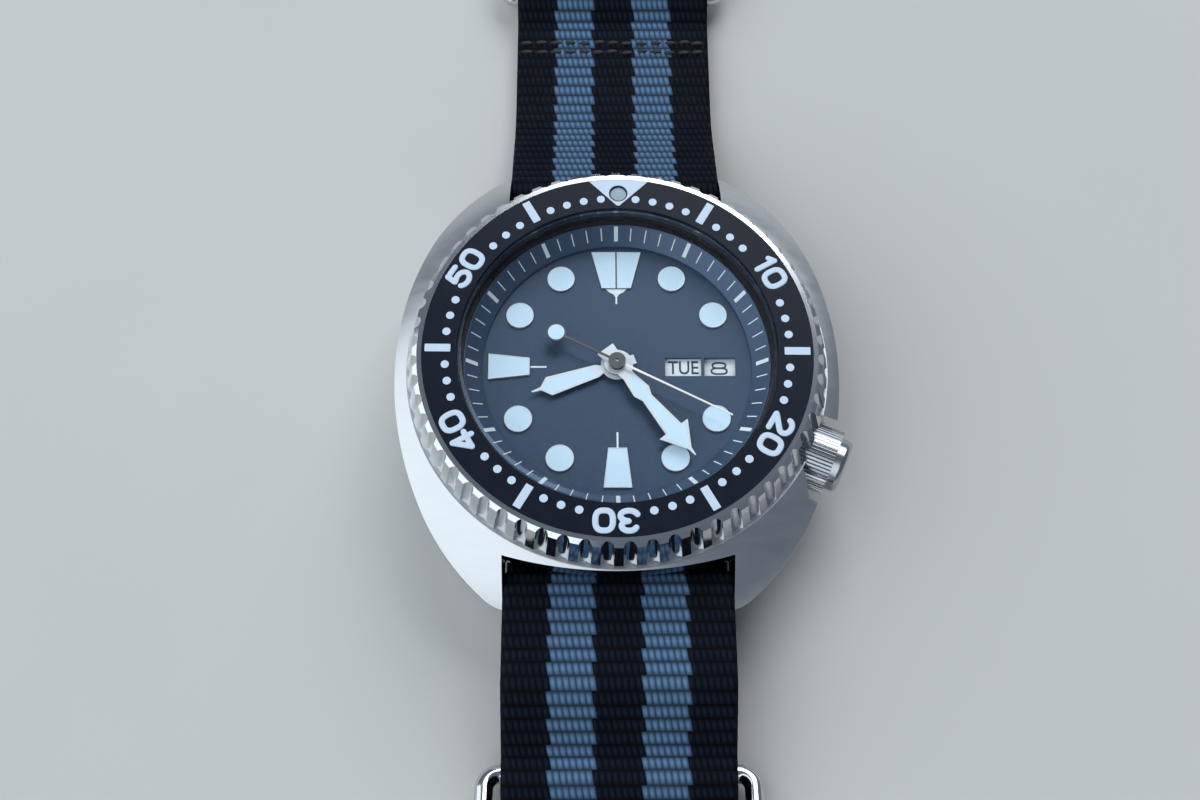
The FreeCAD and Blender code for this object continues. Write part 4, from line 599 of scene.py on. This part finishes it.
def webbing():
    """Five stripes, coloured yarn by yarn: in every other row the yarns stand half a step aside, so the
    stripes' edges zigzag. Each yarn shows as a short slanted bump; its colour is darkened towards its ends
    and lightened on its top: painted shade and painted highlight."""
    material, tree, shader = new_material("striped_webbing")

    def maths(operation, first, second=None):
        return compute(tree, operation, first, second)

    where = add(tree, "ShaderNodeTexCoord")
    split = add(tree, "ShaderNodeSeparateXYZ")
    tree.links.new(where.outputs["Object"], split.inputs["Vector"])
    run = add(tree, "ShaderNodeAttribute", attribute_name="run")
    rows = maths("ADD", maths("MULTIPLY", run.outputs["Fac"], 1 / RIB), 0.5)
    along = maths("SUBTRACT", maths("FRACT", rows), 0.5)
    parity = maths("MODULO", maths("FLOOR", rows), 2.0)
    yarns = maths("MULTIPLY", split.outputs["X"], YARNS / (WIDTH * MM))
    slanted = maths("ADD", maths("ADD", yarns, KEEP_POSITIVE), maths("MULTIPLY", along, SLANT))
    aside = maths("MULTIPLY", parity, 0.5)
    shifted = maths("ADD", slanted, aside)
    across = maths("SUBTRACT", maths("FRACT", shifted), 0.5)
    middle = maths("SUBTRACT", maths("SUBTRACT", shifted, across), maths("ADD", aside, KEEP_POSITIVE))
    from_stripe = maths("SUBTRACT", maths("ABSOLUTE", middle), STRIPE_X * YARNS / WIDTH)
    stripe = maths("LESS_THAN", maths("ABSOLUTE", from_stripe), STRIPE_HALF * YARNS / WIDTH)
    hump = maths("MULTIPLY", maths("COSINE", maths("MULTIPLY", along, math.pi)),
                 maths("COSINE", maths("MULTIPLY", across, 0.9 * math.pi)))
    filaments = noise(tree, 3200.0, (1.0, 0.12, 1.0), 5.0)
    cloud = noise(tree, 260.0)
    grey = blend(tree, cloud, (0.082, 0.150, 0.262), (0.102, 0.180, 0.305))
    black = blend(tree, cloud, (0.0045, 0.0070, 0.0125), (0.0080, 0.0120, 0.0210))
    colour = blend(tree, stripe, black, grey)
    # painted shade and highlight: the colour darkens towards each bump's ends and lightens on its top
    yarn_painted_shade = blend(tree, 1.0, colour, spread(tree, hump, 0.18, 1.25), how="MULTIPLY")
    tree.links.new(yarn_painted_shade, shader.inputs["Base Color"])
    tree.links.new(spread(tree, filaments, 0.5, 0.75), shader.inputs["Roughness"])
    shader.inputs["Specular IOR Level"].default_value = 0.05
    bump(tree, shader, maths("ADD", hump, maths("MULTIPLY", filaments, 0.25)), 0.6, 0.00018)
    return material


# %% [markdown]
# ### Holes and slot
# The tail has ten round holes, and the buckle's tongue comes up through a slot where the cloth folds round
# its bar.

# %% The two bands
strap_material = webbing()
FIRST_HOLE, HOLE_STEP, HOLES = 27.0, 7.5, 10
HOLE_Y = np.array([TAIL_TIP + FIRST_HOLE + HOLE_STEP * k for k in range(HOLES)])
HOLE_RADIUS, TAIL_ENDS_Y = 1.1, -60
SLOT_HALF, SLOT_BACK, SLOT_REACH = 1.7, 3.6, 0.31


def hole_test(s, x, y):
    near = np.min(np.abs(y[..., None] - HOLE_Y), axis=-1)
    return (near ** 2 + x ** 2 < HOLE_RADIUS ** 2) & (y < TAIL_ENDS_Y)


def hole_snap(s, x, y, touched):
    dy = y - HOLE_Y[np.argmin(np.abs(y[..., None] - HOLE_Y), axis=-1)]
    size = np.sqrt(dy ** 2 + x ** 2) + 1e-9
    snapped_x, snapped_s = x * HOLE_RADIUS / size, s + (dy * HOLE_RADIUS / size - dy)
    return np.where(touched, snapped_s, s), np.where(touched, snapped_x, x)


def slot_test(s, x, y):
    return (np.abs(x) < SLOT_HALF) & (y > BUCKLE_Y - SLOT_BACK)


def slot_snap(s, x, y, touched):
    side = touched & (np.abs(x) > SLOT_HALF - SLOT_REACH)
    return s, np.where(side, np.sign(x) * SLOT_HALF, x)


strap_upper, upper_length = woven_band("woven_strap", upper_corners, strap_material, "watch", True,
                                       [(hole_test, hole_snap), (slot_test, slot_snap)])
strap_lower, lower_length = woven_band("woven_lower_layer", lower_corners, strap_material, "watch")
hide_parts("strap_main")
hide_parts("strap_under")

# %% [markdown]
# ## Numbers and marks on the bezel insert
# The insert carries ten-minute numerals, bars at the fives between them and a dot at every other minute.
# The numerals are bold and round-ended, as if drawn with a thick pen, so each is drawn as strokes: a
# flattened bead of paint runs along the middle line of the digit. Their feet point to the centre of the
# watch.

# %% Strokes of the digits
def bow(cx, cy, rx, ry, start, end, count=14):
    """An arc from one angle to another, in degrees."""
    turns = [math.radians(start + (end - start) * k / count) for k in range(count + 1)]
    return [(cx + rx * math.cos(t), cy + ry * math.sin(t)) for t in turns]


def squared_loop(cx, cy, rx, ry, exponent, count):
    """A closed loop between an ellipse (exponent 1) and a rectangle (exponent 0)."""
    def part(v):
        return math.copysign(abs(v) ** exponent, v)
    turns = [math.tau * k / count for k in range(count)]
    return [(cx + rx * part(math.cos(t)), cy + ry * part(math.sin(t))) for t in turns]


# each digit's strokes in a box that is 1 high, with its foot at 0
DIGITS = {
    "0": [squared_loop(0, 0.5, 0.42, 0.5, 2 / 2.7, 36)],
    "1": [[(-0.18, 0.82), (0.08, 1.0)], [(0.08, 1.0), (0.08, 0.0)]],
    "2": [bow(0, 0.71, 0.38, 0.29, 170, -40) + [(-0.38, 0.02)], [(-0.38, 0.0), (0.42, 0.0)]],
    "3": [bow(0, 0.76, 0.36, 0.24, 160, -85), bow(0, 0.26, 0.42, 0.26, 85, -160)],
    "4": [[(0.18, 0.0), (0.18, 1.0)], [(0.18, 1.0), (-0.42, 0.27)], [(-0.42, 0.27), (0.45, 0.27)]],
    "5": [[(0.36, 1.0), (-0.3, 1.0)], [(-0.3, 1.0), (-0.36, 0.55)], bow(0, 0.31, 0.42, 0.31, 130, -155)],
}


BEAD_PROFILE = ((-1.0, 0.0), (-0.8, 0.75), (-0.4, 1.0), (0.4, 1.0), (0.8, 0.75), (1.0, 0.0))
CAP_TURNS = (0.5, 1.0, 1.45)  # radians from the last full section of a bead to its tip


def bead(prints, path, closed, half, low, high):
    """A rounded bead of paint along a path of (x, y) points that lies flat."""
    n = len(path)
    points = [np.array(p, float) for p in path]
    rings = []
    for k, p in enumerate(points):
        before = points[k - 1] if k or closed else p
        after = points[(k + 1) % n] if k + 1 < n or closed else p
        along = (after - before) / np.linalg.norm(after - before)
        rings.append((p, np.array((-along[1], along[0])), along))
    if not closed:
        (p, side, along), (q, end_side, end_along) = rings[0], rings[-1]
        before = [(p - along * half * math.sin(t), side * math.cos(t), along) for t in reversed(CAP_TURNS)]
        after = [(q + end_along * half * math.sin(t), end_side * math.cos(t), end_along) for t in CAP_TURNS]
        rings = before + rings + after
    start, m, count = len(prints.points), len(BEAD_PROFILE), len(rings)
    for p, side, _ in rings:
        for across, up in BEAD_PROFILE:
            x, y = p + side * half * across
            prints.points.append((float(x), float(y), low + (high - low) * up))
    for k in range(count if closed else count - 1):
        here, there = start + k * m, start + (k + 1) % count * m
        for j in range(m):
            i = (j + 1) % m
            prints.faces.append((here + j, there + j, there + i, here + i))
    if not closed:
        prints.faces.append(tuple(start + j for j in range(m)))
        prints.faces.append(tuple(start + (count - 1) * m + j for j in reversed(range(m))))


# %% Marks on the insert
insert_low, insert_high = box_mm("bezel_insert")
INSERT_TOP, INSERT_OUT = insert_high[2], insert_high[0]
MARK_MIDDLE, DIGIT_TALL, DIGIT_WIDE, DIGIT_STEP, PEN = 17.4, 1.95, 1.94, 2.32, 0.3
ONE_CLOSER = 0.25  # the 1 is narrow, so both digits of 10 move in
BAR_IN, BAR_OUT, BAR_HALF, BAR_CORNER = 16.2, 18.7, 0.4, 0.04
DOT_RING, DOT_RADIUS = 16.75, 0.4
PRINT_TOP = INSERT_TOP + 0.04
CROSSING = 0.003  # each stroke of a digit lies this much above the one before
BEZEL_REST = 0.7 / 6  # minutes that the bezel is turned as it lies here
numerals, marks = Prints(), Prints()


def upright(x, y, minute):
    """Turns a point of a numeral, drawn upright at 12, to its minute."""
    a = math.radians(-6 * minute)
    return (x * math.cos(a) - y * math.sin(a), x * math.sin(a) + y * math.cos(a))


for minute in range(10, 60, 10):
    narrow = ONE_CLOSER if minute == 10 else 0.0
    for place, digit in zip((-0.5 * DIGIT_STEP + narrow, 0.5 * DIGIT_STEP - narrow), str(minute)):
        for k, stroke in enumerate(DIGITS[digit]):
            path = [upright(place + x * DIGIT_WIDE, MARK_MIDDLE + (y - 0.5) * DIGIT_TALL, minute + BEZEL_REST)
                    for x, y in stroke]
            bead(numerals, path, digit == "0", PEN, INSERT_TOP, PRINT_TOP + CROSSING * k)
right_side = [(BAR_IN, BAR_HALF - BAR_CORNER), (BAR_IN + BAR_CORNER, BAR_HALF),
              (BAR_OUT - BAR_CORNER, BAR_HALF), (BAR_OUT, BAR_HALF - BAR_CORNER)]
bar = right_side + [(r, -w) for r, w in right_side[::-1]]
for minute in range(1, 60):
    if minute % 10 == 5:
        marks.mark(bar, minute + BEZEL_REST, INSERT_TOP, PRINT_TOP)
    elif minute % 10 and (minute % 10 not in (1, 9) or minute in (1, 59)):
        cx, cy, _ = clock_point(DOT_RING, minute + BEZEL_REST, 0)
        marks.flat_plate(circle(cx, cy, DOT_RADIUS, 24), INSERT_TOP, PRINT_TOP)
make_mesh("insert_numerals", numerals.points, numerals.faces, white_print, "turning_bezel", smooth=True)
make_mesh("insert_marks", marks.points, marks.faces, white_print, "turning_bezel")

# %% [markdown]
# ### The zero triangle
# A broad triangle points to the minute track, with a round luminous pip sunk in its middle. The pip is a
# node of the frame, in its own hole, so the triangle is printed round that hole.

# %% Triangle with a hole for the pip
TRIANGLE_TIP, TIP_HALF, BASE_HALF_ANGLE = 15.95, 0.12, 9.0
PIP_MARGIN, BASE_MARGIN = 0.14, 0.05  # bare metal round the pip, and outside the base
EDGE_PARTS, TIP_PARTS = 16, 2


def triangle_round_pip():
    triangle = Prints()
    pip_low, pip_high = box_mm("bezel_pip")
    cx, cy = (pip_low[0] + pip_high[0]) / 2, (pip_low[1] + pip_high[1]) / 2
    radius = (pip_high[0] - pip_low[0]) / 2 + PIP_MARGIN
    base = INSERT_OUT - BASE_MARGIN
    base_x, base_y = (base * f(math.radians(BASE_HALF_ANGLE)) for f in (math.sin, math.cos))
    corners = [np.array(upright(x, y, BEZEL_REST)) for x, y in
               ((-base_x, base_y), (-TIP_HALF, TRIANGLE_TIP), (TIP_HALF, TRIANGLE_TIP), (base_x, base_y))]
    outline = []
    for a, b, parts in zip(corners, corners[1:], (EDGE_PARTS, TIP_PARTS, EDGE_PARTS)):
        outline += [tuple(a + (b - a) * t / parts) for t in range(parts)]
    for t in range(EDGE_PARTS):
        ahead = BASE_HALF_ANGLE * (1 - 2 * t / EDGE_PARTS) / 6
        outline.append(clock_point(base, BEZEL_REST + ahead, 0)[:2])
    angles = [math.atan2(y - cy, x - cx) for x, y in outline]
    hole = [(cx + radius * math.cos(a), cy + radius * math.sin(a)) for a in angles]
    triangle.open_plate(outline, hole, INSERT_TOP, PRINT_TOP)
    return triangle


triangle = triangle_round_pip()
make_mesh("zero_triangle", triangle.points, triangle.faces, white_print, "turning_bezel")
print("insert top at mm:", INSERT_TOP)

# %% [markdown]
# ## Minute track, dial furniture and calendar
# The minute track is printed on the sloped chapter ring. Each hour plot has a thin bright rim, and the 6, 9
# and 12 have a printed line that leads in. The window shows a weekday and a date, printed on the two
# turning discs.

# %% Minute track on the chapter ring
chapter_low, chapter_high = box_mm("chapter_ring")
DIAL_TOP = box_mm("dial")[1][2]
SLOPE_IN, SLOPE_OUT = 13.4, chapter_high[0] - 0.1
SLOPE_LOW, SLOPE_HIGH = DIAL_TOP + 0.3, chapter_high[2]
FIVE_MARK, MINUTE_MARK = (13.78, 14.9, 0.2), (13.85, 14.8, 0.055)  # inner end, outer end, half width
ARC_IN, ARC_OUT, ARC_HALF, ARC_STEPS = 14.85, 14.93, 1.05, 12  # thin line at 6, in mm and minutes
LIFTS = (0.004, 0.035)  # underside and top of the print above the slope


def on_slope(radius):
    return SLOPE_LOW + (radius - SLOPE_IN) * (SLOPE_HIGH - SLOPE_LOW) / (SLOPE_OUT - SLOPE_IN)


def slope_plate(prints, corners):
    """A plate on the sloped ring; corners are (radius, minute, across)."""
    prints.plate(*[[clock_point(r, m, on_slope(r) + lift, w) for r, m, w in corners] for lift in LIFTS])


track = Prints()
for minute in range(60):
    inner, outer, half = MINUTE_MARK if minute % 5 else FIVE_MARK
    corners = ((inner, half), (outer, half), (outer, -half), (inner, -half))
    slope_plate(track, [(r, minute, w) for r, w in corners])
arc = [30 + ARC_HALF * (2 * k / ARC_STEPS - 1) for k in range(ARC_STEPS + 1)]
slope_plate(track, [(ARC_IN, m, 0) for m in arc] + [(ARC_OUT, m, 0) for m in arc[::-1]])
make_mesh("minute_track", track.points, track.faces, dial_print, "watch")

# %% Rims and lines of the hour plots
rims, lines = Prints(), Prints()
RIM_WIDE, RIM_GAP, RIM_TOP = 0.07, 0.005, box_mm("hour_markers")[1][2] + 0.03
PLOT_RING, PLOT_RADIUS = 11.23, 1.3
BLOCK_IN, BLOCK_OUT = 8.75, 12.7  # the long plots at 6, 9 and 12
BLOCK_HALF_IN, BLOCK_HALF_OUT, TOP_HALF_IN, TOP_HALF_OUT, TOP_SLIT = 0.85, 1.3, 1.42, 2.42, 0.15
LINE_OUT, LINE_HALF, LINE_TOP = 8.6, 0.09, DIAL_TOP + 0.05
LINE_IN = {30: 7.0, 45: 7.0, 0: 6.95}


def rim(outline):
    """A flat rim round an outline of (x, y) points, from a hair's breadth outside it."""
    n = len(outline)
    points = [np.array(p, float) for p in outline]
    outer, inner = [], []
    for k in range(n):
        a, b = points[k] - points[k - 1], points[(k + 1) % n] - points[k]
        na = np.array((a[1], -a[0])) / np.linalg.norm(a)
        nb = np.array((b[1], -b[0])) / np.linalg.norm(b)
        out = (na + nb) / (1 + float(na @ nb))
        inner.append(tuple((points[k] + out * RIM_GAP).tolist()))
        outer.append(tuple((points[k] + out * (RIM_GAP + RIM_WIDE)).tolist()))
    rims.open_plate(outer, inner, DIAL_TOP, RIM_TOP)


def turned(corners, minute):
    return [clock_point(r, minute, 0, w)[:2] for r, w in corners]


for hour in (1, 2, 4, 5, 7, 8, 10, 11):
    cx, cy, _ = clock_point(PLOT_RING, 5 * hour, 0)
    rim(circle(cx, cy, PLOT_RADIUS, 48))
block = [(BLOCK_OUT, BLOCK_HALF_OUT), (BLOCK_OUT, -BLOCK_HALF_OUT),
         (BLOCK_IN, -BLOCK_HALF_IN), (BLOCK_IN, BLOCK_HALF_IN)]
for minute in (30, 45):
    rim(turned(block, minute))
half_block = [(BLOCK_IN, TOP_SLIT), (BLOCK_IN, TOP_HALF_IN), (BLOCK_OUT, TOP_HALF_OUT), (BLOCK_OUT, TOP_SLIT)]
rim(turned(half_block, 0))
rim(turned([(r, -w) for r, w in half_block[::-1]], 0))
for minute, inner in LINE_IN.items():
    outline = [(inner, LINE_HALF), (LINE_OUT, LINE_HALF), (LINE_OUT, -LINE_HALF), (inner, -LINE_HALF)]
    lines.mark(outline, minute, DIAL_TOP, LINE_TOP)
foot = [(8.3, 0.75), (8.05, 0.3), (7.75, 0.1)]  # right edge of the bracket below the plot at 12
bracket = foot + [(r, -w) for r, w in foot[::-1]] + [(8.62, -1.05), (8.62, 1.05)]
lines.mark(bracket, 0, DIAL_TOP, LINE_TOP + 0.01)
make_mesh("plot_rims", rims.points, rims.faces, hand_steel, "watch")
make_mesh("dial_lines", lines.points, lines.faces, dial_print, "watch")

# %% Calendar
LETTER_THICK = 0.025
DAY_MIDDLE, DAY_SIZE = (6.62, 0.08), (3.05, 1.42)
DATE_X, DATE_PEN, DATE_THICK = 10.22, 0.1, 0.02
DATE_LOOPS = ((0.29, 0.65, 0.40), (0.32, 0.77, -0.21))  # half height, half width and middle of the 8's loops
DAY_TOP, DATE_TOP = box_mm("day_disc")[1][2], box_mm("date_disc")[1][2]


def letters(name, text, size, middle, top, material, body, bold):
    """Raised lettering of a width and height, set flat with its top side up."""
    curve = bpy.data.curves.new(name + "_curve", "FONT")
    curve.body, curve.extrude, curve.offset = text, 0.01, bold
    holder = add_object(name + "_curve", curve)
    bpy.context.view_layer.update()
    mesh = bpy.data.meshes.new_from_object(holder.evaluated_get(bpy.context.evaluated_depsgraph_get()))
    bpy.data.objects.remove(holder)
    bpy.data.curves.remove(curve)
    corners = np.array([v.co for v in mesh.vertices])
    low, high = corners.min(axis=0), corners.max(axis=0)
    scale, centre, place = (*size, LETTER_THICK) / (high - low), (low + high) / 2, (*middle, top)
    for v in mesh.vertices:
        v.co = [((v.co[k] - centre[k]) * scale[k] + place[k]) * MM for k in range(3)]
    mesh.name = name
    mesh.materials.clear()
    mesh.materials.append(material)
    piece = add_object(name, mesh)
    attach(piece, body)


letters("weekday", "TUE", DAY_SIZE, DAY_MIDDLE, DAY_TOP + LETTER_THICK / 2, dark_print, "day", 0.008)
eight = Prints()
for k, (tall, wide, up) in enumerate(DATE_LOOPS):
    loop = squared_loop(DATE_X, up, wide, tall, 0.75, 28)
    bead(eight, loop, True, DATE_PEN, DATE_TOP, DATE_TOP + DATE_THICK + CROSSING * k)
make_mesh("date_number", eight.points, eight.faces, dark_print, "date")
print("dial furniture done")

# %% [markdown]
# ## Stitching
# Behind the first keeper ring both layers of the strap are sewn together with two rows of black thread.
# Each stitch is a small spindle that sinks into the webbing at both ends.

# %% Stitches
STITCH_HALF, STITCH_RADIUS, STITCH_FLAT, STITCH_SINK = 0.72, 0.17, 1.5, 0.08
STITCH_RINGS, STITCH_SIDES = 5, 6
ROW_START, ROW_STEP, ROW_STITCHES, ROW_APART = -9.9, 1.65, 13, 1.25
SEAM_Z = HIGH + THICK / 2 - 0.02


def spindle(x, y, z):
    """Points and faces of a thread that runs along x and narrows to both ends."""
    points = [(x - STITCH_HALF, y, z - STITCH_SINK)]
    for k in range(1, STITCH_RINGS + 1):
        t = 2 * k / (STITCH_RINGS + 1) - 1
        size = STITCH_RADIUS * math.sqrt(1 - t * t)
        for cy, cz in circle(0, 0, size, STITCH_SIDES):
            points.append((x + STITCH_HALF * t, y + STITCH_FLAT * cy, z + cz - STITCH_SINK * t * t))
    points.append((x + STITCH_HALF, y, z - STITCH_SINK))
    around = [(j, (j + 1) % STITCH_SIDES) for j in range(STITCH_SIDES)]
    bases = [1 + k * STITCH_SIDES for k in range(STITCH_RINGS)]
    faces = [(0, 1 + i, 1 + j) for j, i in around]
    for here, there in zip(bases, bases[1:]):
        faces += [(here + j, here + i, there + i, there + j) for j, i in around]
    faces += [(bases[-1] + j, bases[-1] + i, len(points) - 1) for j, i in around]
    return points, faces


thread_black = finish("black_thread", (0.006, 0.007, 0.010), 0.0, 0.6, 2500.0, (0.2, 1, 1), 0.6)
sewn_points, sewn_faces = [], []
wander = random.Random(11)
for y in (SEAM_Y, SEAM_Y + ROW_APART):
    for k in range(ROW_STITCHES):
        x = ROW_START + ROW_STEP * k + wander.uniform(-0.1, 0.1)
        points, faces = spindle(x, y + wander.uniform(-0.12, 0.12), SEAM_Z)
        sewn_faces += [tuple(i + len(sewn_points) for i in face) for face in faces]
        sewn_points += points
make_mesh("seam_stitches", sewn_points, sewn_faces, thread_black, "watch")
print("stitches:", 2 * ROW_STITCHES)

# %% [markdown]
# ## Floor, light and camera
# A pale floor, one large soft window high on the left, a weaker fill and a dim sky. The camera looks down
# on the dial from the 6 o'clock side.

# %% Stage
def floor_material():
    material, tree, shader = new_material("pale_floor")
    texture = noise(tree, 25.0)
    pale = blend(tree, texture, (0.56, 0.555, 0.54), (0.60, 0.595, 0.58))
    tree.links.new(pale, shader.inputs["Base Color"])
    shader.inputs["Roughness"].default_value = 0.8
    bump(tree, shader, texture, 0.05, 0.0005)
    return material


FLOOR_HALF, FLOOR_Z = 3.0, -0.00005  # m
floor_mesh = bpy.data.meshes.new("floor")
floor_corners = [(x * FLOOR_HALF, y * FLOOR_HALF, 0) for x, y in ((-1, -1), (1, -1), (1, 1), (-1, 1))]
floor_mesh.from_pydata(floor_corners, [], [(0, 1, 2, 3)])
floor_mesh.materials.append(floor_material())
floor = add_object("floor", floor_mesh)
floor.location.z = FLOOR_Z


def window_light(name, where, size, power, colour):
    """A rectangular lamp that faces the watch: place and size in m, power in W."""
    lamp = bpy.data.lights.new(name, "AREA")
    lamp.shape = "RECTANGLE"
    lamp.size, lamp.size_y = size
    lamp.energy = power
    lamp.color = colour
    holder = add_object(name, lamp)
    holder.location = where
    holder.rotation_euler = (-Vector(where)).to_track_quat("-Z", "Y").to_euler()


window_light("window", (-0.85, -0.25, 0.62), (2.4, 2.2), 22.5, (0.88, 0.955, 1.0))
window_light("fill", (0.3, 0.9, 0.9), (0.9, 0.8), 10.0, (0.92, 0.97, 1.0))
world = bpy.data.worlds.new("sky")
world.use_nodes = True
sky = world.node_tree.nodes["Background"].inputs
sky["Color"].default_value = (0.62, 0.74, 0.92, 1)
sky["Strength"].default_value = 0.24
bpy.context.scene.world = world
bpy.context.scene.view_settings.view_transform = "Standard"

# %% Camera
TARGET, DISTANCE = Vector((-1.6785, -2.3114, 8.0)) * MM, 151.1175 * MM
ELEVATION, YAW, ROLL = (math.radians(a) for a in (67.3377, -0.6956, 0.5318))


def place_camera():
    """Looks at the watch from a steep angle above the 6 o'clock side, with a normal lens."""
    level = math.cos(ELEVATION)
    back = Vector((math.sin(YAW) * level, -math.cos(YAW) * level, math.sin(ELEVATION)))
    right = Vector((math.cos(YAW), math.sin(YAW), 0))
    up = back.cross(right)
    right_rolled = right * math.cos(ROLL) + up * math.sin(ROLL)
    up_rolled = -right * math.sin(ROLL) + up * math.cos(ROLL)
    place = TARGET + back * DISTANCE
    lens = bpy.data.cameras.new("camera")
    lens.lens, lens.sensor_width = 45.0, 36.0
    lens.clip_start = 0.005
    camera = add_object("camera", lens)
    rows = [[right_rolled[k], up_rolled[k], back[k], place[k]] for k in range(3)]
    camera.matrix_world = Matrix(rows + [[0, 0, 0, 1]])
    bpy.context.scene.camera = camera
    print("camera at", [round(v, 4) for v in camera.matrix_world.translation])


place_camera()
